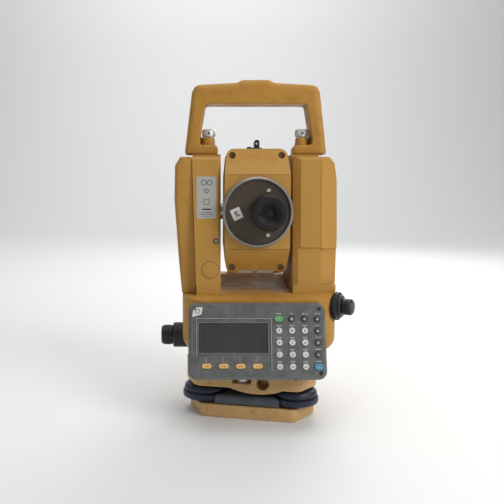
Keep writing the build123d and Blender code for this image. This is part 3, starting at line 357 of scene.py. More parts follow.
class Kind(Enum):
    """The finishes that the instrument uses."""

    CASING = Finish(
        "ochre casing paint", (0.430, 0.216, 0.038), (0.370, 0.180, 0.030), (0.60, 0.40, 0.15),
        roughness=0.42, patch=0.25, smudge=0.30, edge=0.16, grime_and_shade=0.45, scratch=0.03, grain=0.08, specular=0.24,
    )
    CASTING = Finish(
        "ochre cast metal paint", (0.560, 0.345, 0.130), (0.460, 0.265, 0.090), (0.68, 0.50, 0.28),
        roughness=0.44, patch=0.35, smudge=0.40, edge=0.25, grime_and_shade=0.55, scratch=0.06, patch_scale=26.0,
        grain_scale=620.0, grain=0.16,
    )
    KNOB = Finish(
        "navy moulded knob", (0.006, 0.010, 0.026), (0.003, 0.005, 0.014), (0.05, 0.06, 0.095),
        roughness=0.36, smudge=0.6, edge=0.35, grime_and_shade=0.3, scratch=0.06, grain=0.08, coat=0.05, specular=0.36,
    )
    COVER = Finish(
        "slate spring cover", (0.034, 0.043, 0.058), (0.018, 0.024, 0.034), (0.13, 0.15, 0.17),
        roughness=0.48, patch=0.55, edge=0.4, grime_and_shade=0.4, scratch=0.12,
    )
    # Black mouldings; also the black discs, rings and bars of painted shade in wells, bores and slots.
    BLACK = Finish(
        "black moulding and painted recess shade", (0.010, 0.010, 0.012), (0.005, 0.005, 0.006), (0.05, 0.05, 0.055),
        roughness=0.38, edge=0.3, grime_and_shade=0.2, specular=0.36,
    )
    RUBBER = Finish(
        "black rubber", (0.007, 0.007, 0.008), (0.004, 0.004, 0.005), (0.04, 0.04, 0.042),
        roughness=0.36, smudge=0.6, edge=0.25, grime_and_shade=0.2, scratch=0.03, specular=0.28,
    )
    PANEL = Finish(
        "grey keyboard moulding", (0.092, 0.098, 0.096), (0.070, 0.075, 0.074), (0.24, 0.25, 0.25),
        roughness=0.36, patch=0.15, smudge=0.3, edge=0.30, grime_and_shade=0.4, scratch=0.04, grain=0.08,
        grain_scale=1300.0,
    )
    RING = Finish(
        "grey anodised ring", (0.185, 0.172, 0.152), (0.125, 0.115, 0.100), (0.42, 0.40, 0.37),
        roughness=0.36, metallic=0.55, patch=0.4, edge=0.5, scratch=0.2, grain=0.06,
    )
    PLATE = Finish(
        "brown anodised plate", (0.017, 0.012, 0.008), (0.010, 0.007, 0.005), (0.14, 0.11, 0.08),
        roughness=0.22, smudge=0.6, edge=0.5, grime_and_shade=0.4, scratch=0.08, patch_scale=30.0,
        grain=0.03, specular=0.22,
    )
    STEEL = Finish(
        "bright turned steel", (0.60, 0.60, 0.58), (0.42, 0.42, 0.40), (0.85, 0.85, 0.83),
        roughness=0.28, metallic=1.0, patch=0.4, smudge=0.4, edge=0.5, grime_and_shade=0.6, scratch=0.2, grain=0.05,
    )
    ALLOY = Finish(
        "satin alloy", (0.66, 0.665, 0.66), (0.50, 0.505, 0.50), (0.88, 0.88, 0.86),
        roughness=0.38, metallic=0.85, patch=0.4, smudge=0.4, edge=0.4, grime_and_shade=0.6, scratch=0.2, grain=0.08,
    )
    LABEL = Finish(
        "silver label foil", (0.46, 0.45, 0.425), (0.37, 0.36, 0.33), (0.60, 0.59, 0.56),
        roughness=0.42, metallic=0.25, patch=0.4, edge=0.0, grime_and_shade=0.2, scratch=0.12, grain=0.04,
    )
    PAPER = Finish(
        "white sticker paper", (0.66, 0.65, 0.61), (0.52, 0.50, 0.45), (0.75, 0.74, 0.70),
        roughness=0.62, patch=0.4, smudge=0.6, edge=0.0, grime_and_shade=0.4,
    )
    INK = Finish(
        "dark print", (0.050, 0.050, 0.050), (0.030, 0.030, 0.030), (0.10, 0.10, 0.10),
        roughness=0.6, smudge=0.4, edge=0.0, grime_and_shade=0.2, scratch=0.10, grain=0.05,
    )
    # Pale print on the panel and keys, also used for the painted highlight lines on the display ridges.
    PRINT = Finish(
        "pale panel print and painted highlight", (0.50, 0.51, 0.50), (0.36, 0.37, 0.36), (0.6, 0.6, 0.6),
        smudge=0.4, edge=0.0, grime_and_shade=0.2, scratch=0.10, grain=0.05,
    )
    KEY_WHITE = Finish(
        "white key rubber", (0.60, 0.60, 0.575), (0.46, 0.455, 0.43), (0.75, 0.75, 0.73),
        smudge=0.6,
    )
    KEY_DARK = Finish(
        "charcoal key rubber", (0.042, 0.047, 0.050), (0.028, 0.031, 0.033), (0.12, 0.13, 0.13),
        smudge=0.6, grime_and_shade=0.4,
    )
    KEY_ORANGE = Finish(
        "amber key rubber", (0.72, 0.400, 0.130), (0.55, 0.290, 0.085), (0.85, 0.60, 0.30),
        roughness=0.48,
    )
    KEY_GREEN = Finish(
        "green key rubber", (0.120, 0.330, 0.140), (0.075, 0.230, 0.090), (0.35, 0.60, 0.36),
        roughness=0.48,
    )
    KEY_BLUE = Finish(
        "blue key rubber", (0.050, 0.265, 0.370), (0.030, 0.185, 0.270), (0.30, 0.55, 0.68),
        roughness=0.48,
    )
    SCREEN = Finish(
        "dark display window", (0.042, 0.043, 0.037), (0.030, 0.031, 0.027), (0.10, 0.10, 0.09),
        roughness=0.20, patch=0.7, smudge=0.9, edge=0.0, grime_and_shade=0.1, patch_scale=34.0, grain=0.01, coat=0.4,
    )
    SPIRIT = Finish(
        "green level spirit", (0.30, 0.46, 0.12), (0.22, 0.36, 0.08), (0.5, 0.6, 0.3),
        roughness=0.12, patch=0.2, smudge=0.1, edge=0.0, grime_and_shade=0.0, scratch=0.0, grain=0.0, coat=0.8,
    )


def glass_material(name: str, tint: Colour, coat_tint: Colour) -> Material:
    """Coated optical glass: dark body with a tinted, glossy, slightly uneven coating.

    Args:
        name: Name of the material.
        tint: Colour seen through the glass.
        coat_tint: Colour of the anti-reflection coating.

    Returns:
        The material.
    """
    material = bpy.data.materials.new(name)
    material.use_nodes = True
    net = NodeTree(material.node_tree)
    shader = material.node_tree.nodes["Principled BSDF"]
    surface = GROUPS.place(net, surface_group, {"Patch Scale": 40.0}).outputs
    colour = net.blend(surface["Mottle"], tint, coat_tint)
    rough = net.math("MULTIPLY", surface["Smudge"], 0.05)
    rough = net.math("ADD", rough, 0.02)
    material.node_tree.links.new(colour, shader.inputs["Base Color"])
    material.node_tree.links.new(rough, shader.inputs["Roughness"])
    shader.inputs["Transmission Weight"].default_value = 0.35
    shader.inputs["Coat Weight"].default_value = 0.6
    shader.inputs["IOR"].default_value = 1.52
    return material


class Palette:
    """Builds each finish's material once."""

    def __init__(self) -> None:
        """Start with no materials built."""
        self.built: dict[str, Material] = {}

    def __call__(self, kind: Kind) -> Material:
        """Return the material of a finish, building it the first time."""
        if kind.name not in self.built:
            self.built[kind.name] = kind.value.build()
        return self.built[kind.name]

    def glass(self) -> Material:
        """Return the coated glass."""
        if "glass" not in self.built:
            self.built["glass"] = glass_material("coated glass", (0.020, 0.026, 0.040), (0.060, 0.035, 0.085))
        return self.built["glass"]


PALETTE = Palette()


# ---- Mesh building ----
def make_object(name: str, mesh: Mesh, material: Material | None = None) -> Object:
    """Link a mesh into the scene as an object at the origin.

    Args:
        name: Piece name.
        mesh: Its mesh.
        material: Material that fills its only slot, replacing any that it had.

    Returns:
        The object.
    """
    piece = bpy.data.objects.new(name, mesh)
    bpy.context.scene.collection.objects.link(piece)
    if material is not None:
        mesh.materials.clear()
        mesh.materials.append(material)
    return piece


def mesh_from(name: str, build: Callable[[BMesh], None], smooth: bool = True) -> Mesh:
    """Run a function that fills a bmesh, and return it as a mesh with outward normals.

    Args:
        name: Mesh name.
        build: Function that fills the bmesh.
        smooth: Whether faces are shaded smooth.

    Returns:
        The mesh.
    """
    shape = bmesh.new()
    build(shape)
    bmesh.ops.remove_doubles(shape, verts=shape.verts, dist=1e-6)
    bmesh.ops.recalc_face_normals(shape, faces=shape.faces)
    for face in shape.faces:
        face.smooth = smooth
    mesh = bpy.data.meshes.new(name)
    shape.to_mesh(mesh)
    shape.free()
    return mesh


def lathe(shape: BMesh, profile: Outline, steps: int, at: tuple[float, float] = (0.0, 0.0)) -> None:
    """Spin (radius, height) points about Z into a closed solid.

    Args:
        shape: The bmesh to fill.
        profile: Outline from the axis and back to it, or a closed ring's outline.
        steps: Number of steps round the axis.
        at: Where the axis stands.
    """
    ring_like = profile[0][0] > 1e-9
    points = list(profile) + ([profile[0]] if ring_like else [])
    rows = []
    for i in range(steps):
        angle = 2 * math.pi * i / steps
        c, s = math.cos(angle), math.sin(angle)
        rows.append([shape.verts.new((at[0] + r * c, at[1] + r * s, z)) for r, z in points])
    for i in range(steps):
        here, there = rows[i], rows[(i + 1) % steps]
        for j in range(len(points) - 1):
            corners = [here[j], there[j], there[j + 1], here[j + 1]]
            if points[j][0] <= 1e-9:
                corners = [here[j], there[j + 1], here[j + 1]]
            elif points[j + 1][0] <= 1e-9:
                corners = [here[j], there[j], here[j + 1]]
            shape.faces.new(corners)


def join_rings(shape: BMesh, here: list[BMVert], there: list[BMVert]) -> None:
    """Join two closed rings of corners with faces."""
    for i in range(len(here)):
        j = (i + 1) % len(here)
        shape.faces.new((here[i], here[j], there[j], there[i]))


def slab(shape: BMesh, outline: Outline, z0: float, z1: float) -> None:
    """Add a flat plate with an (x, y) outline between two heights."""
    low = [shape.verts.new((x, y, z0)) for x, y in outline]
    high = [shape.verts.new((x, y, z1)) for x, y in outline]
    shape.faces.new(high)
    shape.faces.new(list(reversed(low)))
    join_rings(shape, low, high)


def rounded_rectangle(width: float, height: float, radius: float) -> Outline:
    """Outline of a rectangle with rounded corners, centred on the origin."""
    steps = 5
    outline = []
    for corner, (sx, sy) in enumerate(((1, 1), (-1, 1), (-1, -1), (1, -1))):
        cx, cy = sx * (width / 2 - radius), sy * (height / 2 - radius)
        for i in range(steps + 1):
            angle = math.pi / 2 * (corner + i / steps)
            outline.append((cx + radius * math.cos(angle), cy + radius * math.sin(angle)))
    return outline


def circle_outline(radius: float, steps: int) -> Outline:
    """Outline of a circle centred on the origin."""
    angles = [2 * math.pi * i / steps for i in range(steps)]
    return [(radius * math.cos(a), radius * math.sin(a)) for a in angles]


def rectangle(x: float, y: float, width: float, height: float) -> Outline:
    """Outline of a rectangle, from its middle and size."""
    return [(x + sx * width / 2, y + sy * height / 2) for sx, sy in SQUARE]


def bar(x: float, y: float, width: float, height: float) -> Outline:
    """Outline of a rectangle, from its middle and size in millimetres."""
    return rectangle(x * MM, y * MM, width * MM, height * MM)


def scaled(*points: tuple[float, float]) -> Outline:
    """Points given in millimetres, in metres."""
    return [(x * MM, y * MM) for x, y in points]


def washer(outer: float, inner: float, low: float, high: float) -> Outline:
    """Profile of a flat ring, from its radii and heights in millimetres."""
    return scaled((outer, low), (outer, high), (inner, high), (inner, low))


def disc(radius: float, z0: float, z1: float) -> Outline:
    """Profile of a round plate or rod between two heights."""
    return [(0, z0), (radius, z0), (radius, z1), (0, z1)]


def frame_matrix(origin: Vector, normal: Vector, up: Vector) -> Matrix:
    """Matrix that takes local Z to a normal and local Y as near to an up direction as it can.

    Args:
        origin: Where the local origin goes.
        normal: Direction of local Z.
        up: Direction that local Y leans to.

    Returns:
        The 4x4 matrix.
    """
    z_axis = normal.normalized()
    x_axis = up.cross(z_axis).normalized()
    y_axis = z_axis.cross(x_axis)
    turn = Matrix((x_axis, y_axis, z_axis)).transposed().to_4x4()
    return Matrix.Translation(origin) @ turn


def lifted(place: Matrix, height: float) -> Matrix:
    """A place moved along its own Z."""
    return place @ Matrix.Translation((0, 0, height))


def soften(piece: Object, width: float, angle: float = 30.0, segments: int = 3) -> None:
    """Round a hard-edged piece with live modifiers: merge, flatten facets, bevel, weight the normals.

    Args:
        piece: The piece or CAD node.
        width: Bevel width in metres.
        angle: Edges sharper than this many degrees are rounded.
        segments: Bevel segments.
    """
    weld = piece.modifiers.new("merge facets", "WELD")
    weld.merge_threshold = MERGE
    flat = piece.modifiers.new("flatten facets", "DECIMATE")
    flat.decimate_type = "DISSOLVE"
    flat.angle_limit = math.radians(0.6)
    bevel = piece.modifiers.new("round edges", "BEVEL")
    bevel.width = width
    bevel.segments = segments
    bevel.limit_method = "ANGLE"
    bevel.angle_limit = math.radians(angle)
    bevel.miter_outer = "MITER_ARC"
    bevel.use_clamp_overlap = True
    weight = piece.modifiers.new("weight normals", "WEIGHTED_NORMAL")
    weight.keep_sharp = True
    weight.weight = 80


def cast_copy(name: str, nodes: Sequence[str], voxel: float, passes: int) -> Object:
    """Copy CAD nodes as one cast skin: remeshed evenly and relaxed, so that every edge is rounded.

    Args:
        name: Name of the new piece.
        nodes: CAD nodes to copy.
        voxel: Remesh size in metres.
        passes: Number of smoothing passes.

    Returns:
        The new object, at the origin, with its modifiers applied.
    """
    shape = bmesh.new()
    for node in nodes:
        shape.from_mesh(FRAME.nodes[node].data)
    bmesh.ops.remove_doubles(shape, verts=shape.verts, dist=MERGE)
    mesh = bpy.data.meshes.new(name)
    shape.to_mesh(mesh)
    shape.free()
    piece = make_object(name, mesh)
    remesh = piece.modifiers.new("even skin", "REMESH")
    remesh.mode = "VOXEL"
    remesh.voxel_size = voxel
    relax = piece.modifiers.new("relax", "SMOOTH")
    relax.factor = 0.5
    relax.iterations = passes
    return applied(piece, smooth=True)


def evaluated_mesh(piece: Object) -> Mesh:
    """Plain mesh of a piece with its modifiers done."""
    depsgraph = bpy.context.evaluated_depsgraph_get()
    return bpy.data.meshes.new_from_object(piece.evaluated_get(depsgraph), depsgraph=depsgraph)


def applied(piece: Object, smooth: bool = False) -> Object:
    """Replace a piece's mesh by its evaluated mesh and drop its modifiers.

    Args:
        piece: The piece.
        smooth: Whether to shade all its faces smooth.

    Returns:
        The same piece.
    """
    mesh = evaluated_mesh(piece)
    piece.modifiers.clear()
    piece.data = mesh
    if smooth:
        mesh.shade_smooth()
    return piece


# ---- Geometry Nodes ----
class GeometryTree(NodeTree):
    """A Geometry Nodes tree with named inputs, ending in Realize Instances and Set Material."""

    def __init__(self, name: str, sizes: dict[str, tuple[str, object]]) -> None:
        """Start the tree.

        Args:
            name: Tree name.
            sizes: Input names with their socket type and default value.
        """
        super().__init__(bpy.data.node_groups.new(name, "GeometryNodeTree"))
        face = self.tree.interface
        face.new_socket("Geometry", in_out="INPUT", socket_type="NodeSocketGeometry")
        self.identifiers: dict[str, str] = {}
        for label, (kind, default) in sizes.items():
            socket = face.new_socket(label, in_out="INPUT", socket_type=kind)
            if default is not None:
                socket.default_value = default
            self.identifiers[label] = socket.identifier
        socket = face.new_socket("Material", in_out="INPUT", socket_type="NodeSocketMaterial")
        self.identifiers["Material"] = socket.identifier
        face.new_socket("Geometry", in_out="OUTPUT", socket_type="NodeSocketGeometry")
        start = self.add("NodeGroupInput")
        self.given = {s.name: s for s in start.outputs}

    def close(self, instances: NodeSocket) -> None:
        """Finish the tree from its instances."""
        real = self.add("GeometryNodeRealizeInstances", {0: instances})
        smooth = self.add("GeometryNodeSetShadeSmooth", {0: real.outputs[0]})
        done = self.add("GeometryNodeSetMaterial", {0: smooth.outputs[0], "Material": self.given["Material"]})
        end = self.add("NodeGroupOutput")
        self.tree.links.new(done.outputs[0], end.inputs[0])

    def run(self, name: str, base: Mesh, material: Material, **values: object) -> Mesh:
        """Run the tree on a base mesh.

        Args:
            name: Name of the resulting mesh.
            base: Mesh that the modifier stands on.
            material: Material of the result.
            **values: Input values, with spaces in their names written as underscores.

        Returns:
            A plain mesh with the modifier's result.
        """
        carrier = make_object(name, base)
        modifier = carrier.modifiers.new(self.tree.name, "NODES")
        modifier.node_group = self.tree
        modifier[self.identifiers["Material"]] = material
        for label, value in values.items():
            modifier[self.identifiers[label.replace("_", " ")]] = value
        mesh = evaluated_mesh(carrier)
        bpy.data.objects.remove(carrier)
        return mesh


def rib_tree() -> GeometryTree:
    """Ribs round a grip: a rounded bar at every step of a circle about Z.

    Returns:
        The tree, with inputs Count, Radius, Length and Width.
    """
    tree = GeometryTree(
        "grip ribs",
        {
            "Count": ("NodeSocketInt", 24),
            "Radius": ("NodeSocketFloat", 0.01),
            "Length": ("NodeSocketFloat", 0.01),
            "Width": ("NodeSocketFloat", 0.001),
        },
    )
    circle = tree.add("GeometryNodeMeshCircle", {"Vertices": tree.given["Count"], "Radius": tree.given["Radius"]})
    points = tree.add("GeometryNodeMeshToPoints", {0: circle.outputs[0]})
    half = tree.math("MULTIPLY", tree.given["Width"], 0.5)
    bar = tree.add(
        "GeometryNodeMeshCylinder", {"Vertices": 8, "Side Segments": 1, "Radius": half, "Depth": tree.given["Length"]},
    )
    placed = tree.add("GeometryNodeInstanceOnPoints", {"Points": points.outputs[0], "Instance": bar.outputs["Mesh"]})
    tree.close(placed.outputs[0])
    return tree


def fastener_tree() -> GeometryTree:
    """Copies of a pattern piece at every vertex of a mesh, its Z along the vertex's facing attribute.

    Returns:
        The tree, with inputs Pattern and Spin.
    """
    tree = GeometryTree(
        "fasteners", {"Pattern": ("NodeSocketObject", None), "Spin": ("NodeSocketFloat", 0.7)}
    )
    facing = tree.add("GeometryNodeInputNamedAttribute", {"Name": "facing"}, data_type="FLOAT_VECTOR")
    turn = tree.add("FunctionNodeAlignRotationToVector", {"Vector": facing.outputs[0]}, axis="Z")
    index = tree.add("GeometryNodeInputIndex")
    angle = tree.math("MULTIPLY", index.outputs[0], tree.given["Spin"])
    spin = tree.add("ShaderNodeCombineXYZ", {"Z": angle})
    euler = tree.add("FunctionNodeEulerToRotation", {0: spin.outputs[0]})
    both = tree.add("FunctionNodeRotateRotation", {0: turn.outputs[0], 1: euler.outputs[0]}, rotation_space="LOCAL")
    pattern = tree.add("GeometryNodeObjectInfo", {"Object": tree.given["Pattern"]})
    points = tree.add("GeometryNodeMeshToPoints", {0: tree.given["Geometry"]})
    placed = tree.add(
        "GeometryNodeInstanceOnPoints",
        {"Points": points.outputs[0], "Instance": pattern.outputs["Geometry"], "Rotation": both.outputs[0]},
    )
    tree.close(placed.outputs[0])
    return tree


class Hardware:
    """Screws and grip ribs, made by the Geometry Nodes trees."""

    def __init__(self) -> None:
        """Build the trees."""
        self.ribs = rib_tree()
        self.fasteners = fastener_tree()

    def grip(
        self, name: str, body: str, place: Matrix, kind: Kind, count: int, radius: float, length: float, width: float
    ) -> Object:
        """Make the ribs of one grip.

        Args:
            name: Piece name.
            body: CAD body that it rides on.
            place: Matrix from the ribs' own frame, centred on their middle with Z along the axis.
            kind: Finish.
            count: Number of ribs.
            radius: Radius of the ribs' centre lines.
            length: Length of a rib.
            width: Thickness of a rib.

        Returns:
            The piece.
        """
        base = bpy.data.meshes.new(name)
        mesh = self.ribs.run(name, base, PALETTE(kind), Count=count, Radius=radius, Length=length, Width=width)
        mesh.transform(place)
        return ride(make_object(name, mesh), body)

    def screws(
        self, name: str, body: str, places: Sequence[tuple[Vector, Vector]], kind: Kind, radius: float,
        socket: "Socket", head: float,
    ) -> Object:
        """Make a set of screw heads.

        Args:
            name: Piece name.
            body: CAD body that they ride on.
            places: Point under each head and the direction that the head faces.
            kind: Finish.
            radius: Head radius.
            socket: Shape of the driving recess.
            head: Head height.

        Returns:
            The piece.
        """
        pattern = make_object(f"{name} pattern", screw_head(radius, head, socket))
        base = bpy.data.meshes.new(name)
        base.from_pydata([tuple(point) for point, _ in places], [], [])
        facing = base.attributes.new("facing", "FLOAT_VECTOR", "POINT")
        for i, (_, direction) in enumerate(places):
            facing.data[i].vector = direction
        mesh = self.fasteners.run(name, base, PALETTE(kind), Pattern=pattern)
        bpy.data.objects.remove(pattern)
        return ride(make_object(name, mesh), body)


class Socket(Enum):
    """Driving recesses of screw heads."""

    CROSS = "cross"
    HEX = "hex"
    SLOT = "slot"


def screw_head(radius: float, height: float, socket: Socket) -> Mesh:
    """Head of a screw, standing on Z = 0, with its driving recess.

    Args:
        radius: Head radius.
        height: Head height.
        socket: Kind of recess.

    Returns:
        The mesh.
    """
    sides = 24
    reach = {Socket.CROSS: 0.62, Socket.HEX: 0.5, Socket.SLOT: 0.9}[socket] * radius
    half = 0.16 * radius

    def recess(angle: float) -> float:
        """Distance from the axis to the recess's wall at an angle."""
        if socket is Socket.HEX:
            fold = (angle % (math.pi / 3)) - math.pi / 6
            return reach * math.cos(math.pi / 6) / math.cos(fold)
        arms = math.pi / 2 if socket is Socket.CROSS else math.pi
        fold = abs(((angle + arms / 2) % arms) - arms / 2)
        return min(reach, half / max(math.sin(fold), 1e-4)) if fold > 0.05 else reach

    def build(shape: BMesh) -> None:
        """Fill the bmesh ring by ring."""
        count = sides * 2
        rings = []
        for radius_of, z in (
            (lambda a: radius, 0.0),
            (lambda a: radius, height * 0.6),
            (lambda a: radius * 0.9, height * 0.93),
            (lambda a: radius * 0.78, height),
            (recess, height),
            (lambda a: recess(a) * 0.82, height * 0.3),
        ):
            ring = []
            for i in range(count):
                angle = 2 * math.pi * i / count
                r = radius_of(angle)
                ring.append(shape.verts.new((r * math.cos(angle), r * math.sin(angle), z)))
            rings.append(ring)
        for low, high in zip(rings, rings[1:]):
            join_rings(shape, low, high)
        shape.faces.new(rings[-1])
        shape.faces.new(list(reversed(rings[0])))

    return mesh_from("screw head", build, smooth=False)


# ---- The frame, as the classes below read it ----
class Frame:
    """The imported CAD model, with the few measurements that the pieces are placed by."""

    def __init__(self) -> None:
        """Read the loaded frame."""
        self.nodes: dict[str, Object] = frame["nodes"]
        self.joints: dict[str, dict] = {j["name"]: j for j in frame["joints"]}
        self.trees: dict[str, BVHTree] = {}

    def low(self, node: str) -> Vector:
        """Lowest corner of a node."""
        return Vector(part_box(node)[0])

    def high(self, node: str) -> Vector:
        """Highest corner of a node."""
        return Vector(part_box(node)[1])

    def centre(self, node: str) -> Vector:
        """Middle of a node's box."""
        return (self.low(node) + self.high(node)) / 2

    def axis(self, joint: str) -> Vector:
        """Direction of a joint's axis."""
        return Vector(self.joints[joint]["axis"]).normalized()

    def pivot(self, joint: str) -> Vector:
        """Point on a hinge's axis."""
        return Vector(self.joints[joint]["pos_m"])

    def probe(self, node: str, start: Point, direction: Point) -> tuple[Vector, Vector]:
        """First point of a node's surface along a ray.

        Args:
            node: CAD node.
            start: Where the ray starts.
            direction: Where it goes.

        Returns:
            The point and the surface's outward normal there.
        """
        if node not in self.trees:
            mesh = self.nodes[node].data
            corners = [v.co for v in mesh.vertices]
            self.trees[node] = BVHTree.FromPolygons(corners, [tuple(p.vertices) for p in mesh.polygons])
        point, normal, _, _ = self.trees[node].ray_cast(Vector(start), Vector(direction))
        if point is None:
            raise ValueError(f"nothing of {node} lies along the ray from {start}")
        if normal.dot(Vector(direction)) > 0:
            normal = -normal
        return point, normal

    def dress(self, kind: Kind | Material, *nodes: str) -> None:
        """Give CAD nodes a finish."""
        material = PALETTE(kind) if isinstance(kind, Kind) else kind
        for node in nodes:
            mesh = self.nodes[node].data
            mesh.materials.clear()
            mesh.materials.append(material)


FRAME = Frame()


def ride(piece: Object, body: str) -> Object:
    """Make a piece ride on a body, and report it."""
    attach(piece, body)
    LOG.info("%s rides on %s", piece.name, body)
    return piece


def placed(
    name: str, body: str, kind: Kind | Material, matrix: Matrix, build: Callable[[BMesh], None],
    smooth: bool = False, bevel: float = 0.0,
) -> Object:
    """Build a piece in its own frame, put it in place and let it ride.

    Args:
        name: Piece name.
        body: CAD body that it rides on.
        kind: Finish or material.
        matrix: From the piece's own frame to the object's.
        build: Function that fills the bmesh.
        smooth: Whether faces are shaded smooth.
        bevel: Bevel width, if its edges are rounded.

    Returns:
        The piece.
    """
    mesh = mesh_from(name, build, smooth)
    mesh.transform(matrix)
    material = PALETTE(kind) if isinstance(kind, Kind) else kind
    piece = make_object(name, mesh, material)
    if bevel:
        soften(piece, bevel, 25.0, 2)
        applied(piece)
    return ride(piece, body)


def turned(
    name: str, body: str, kind: Kind | Material, matrix: Matrix, profile: Outline, steps: int,
    smooth: bool = True,
) -> Object:
    """Turn a profile about the local Z axis: see placed and lathe."""
    return placed(name, body, kind, matrix, lambda shape: lathe(shape, profile, steps), smooth)


def plates(
    name: str, body: str, kind: Kind, matrix: Matrix, outlines: Sequence[Outline], z0: float, z1: float,
    bevel: float = 0.0,
) -> Object:
    """Stand flat plates on the local XY plane: see placed and slab."""

    def build(shape: BMesh) -> None:
        """Add every plate."""
        for outline in outlines:
            slab(shape, outline, z0, z1)

    return placed(name, body, kind, matrix, build, bevel=bevel)


# ---- Tribrach ----
@dataclass
class Tribrach:
    """Base plate, foot screws, tribrach body, level and lock lever.

    Attributes:
        rib_height: Height of the ribs' middle over a foot screw's lower end.
        setscrew_height: Height of the setscrews in the towers' sides.
    """

    hardware: Hardware
    cast_voxel: float = 0.85 * MM
    cast_passes: int = 10
    plate_edge: float = 0.6 * MM
    lever_edge: float = 0.8 * MM
    rib_count: int = 36
    rib_width: float = 1.3 * MM
    rib_length: float = 4.6 * MM
    rib_sunk: float = 0.9 * MM
    rib_height: float = 16.6 * MM
    setscrew_height: float = 44 * MM
    setscrew_radius: float = 1.5 * MM

    def build(self) -> None:
        """Build and dress every piece."""
        self.castings()
        self.foot_screws()
        self.level()
        self.small_parts()

    def castings(self) -> None:
        """Cast skins of the body and the base plate."""
        for node, body in (("tribrach_body", "tribrach"), ("base_plate", "base")):
            skin = cast_copy(f"{node}_casting", [node], self.cast_voxel, self.cast_passes)
            skin.data.materials.append(PALETTE(Kind.CASTING))
            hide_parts(node)
            ride(skin, body)
        FRAME.dress(Kind.COVER, "spring_plate")
        soften(FRAME.nodes["spring_plate"], self.plate_edge)

    def foot_screws(self) -> None:
        """Knobs with their grip ribs."""
        for name in "abc":
            node = f"foot_screw_{name}"
            FRAME.dress(Kind.KNOB, node)
            low, high = FRAME.low(node), FRAME.high(node)
            pivot = FRAME.pivot(f"{node}_turn")
            radius = (high.x - low.x) / 2
            place = Matrix.Translation((pivot.x, pivot.y, low.z + self.rib_height))
            self.hardware.grip(
                f"foot_knob_ribs_{name}", f"foot_{name}", place, Kind.KNOB, self.rib_count,
                radius - self.rib_sunk, self.rib_length, self.rib_width,
            )

    def level(self) -> None:
        """Circular level: cup, spirit and its ring."""
        FRAME.dress(Kind.ALLOY, "circular_level")
        centre = FRAME.centre("circular_level")
        place = Matrix.Translation((centre.x, centre.y, FRAME.high("circular_level").z))
        spirit = scaled((0, 0.9), (3, 0.7), (6.0, 0.05), (6.0, -0.4), (0, -0.4))
        turned("circular_level_spirit", "tribrach", Kind.SPIRIT, place, spirit, 40)
        turned("circular_level_ring", "tribrach", Kind.INK, place, washer(2.9, 2.6, 0.5, 0.85), 48, smooth=False)

    def small_parts(self) -> None:
        """Lock lever, spindle and the setscrews in the towers' sides."""
        FRAME.dress(Kind.BLACK, "lock_lever")
        soften(FRAME.nodes["lock_lever"], self.lever_edge)
        FRAME.dress(Kind.STEEL, "spindle")
        places = []
        for name in "ab":
            pivot = FRAME.pivot(f"foot_screw_{name}_turn")
            outward = Vector((pivot.x, pivot.y, 0)).normalized()
            for turn in (-1, 1):
                side = Vector((outward.x * 0.6 - turn * outward.y * 0.8, outward.y * 0.6 + turn * outward.x * 0.8, 0))
                start = Vector((pivot.x, pivot.y, self.setscrew_height)) + side * 60 * MM
                point, normal = FRAME.probe("tribrach_body", start, -side)
                places.append((point - normal * 0.8 * MM, normal))
        self.hardware.screws(
            "tower_setscrews", "tribrach", places, Kind.BLACK, self.setscrew_radius, Socket.HEX, 1.0 * MM
        )


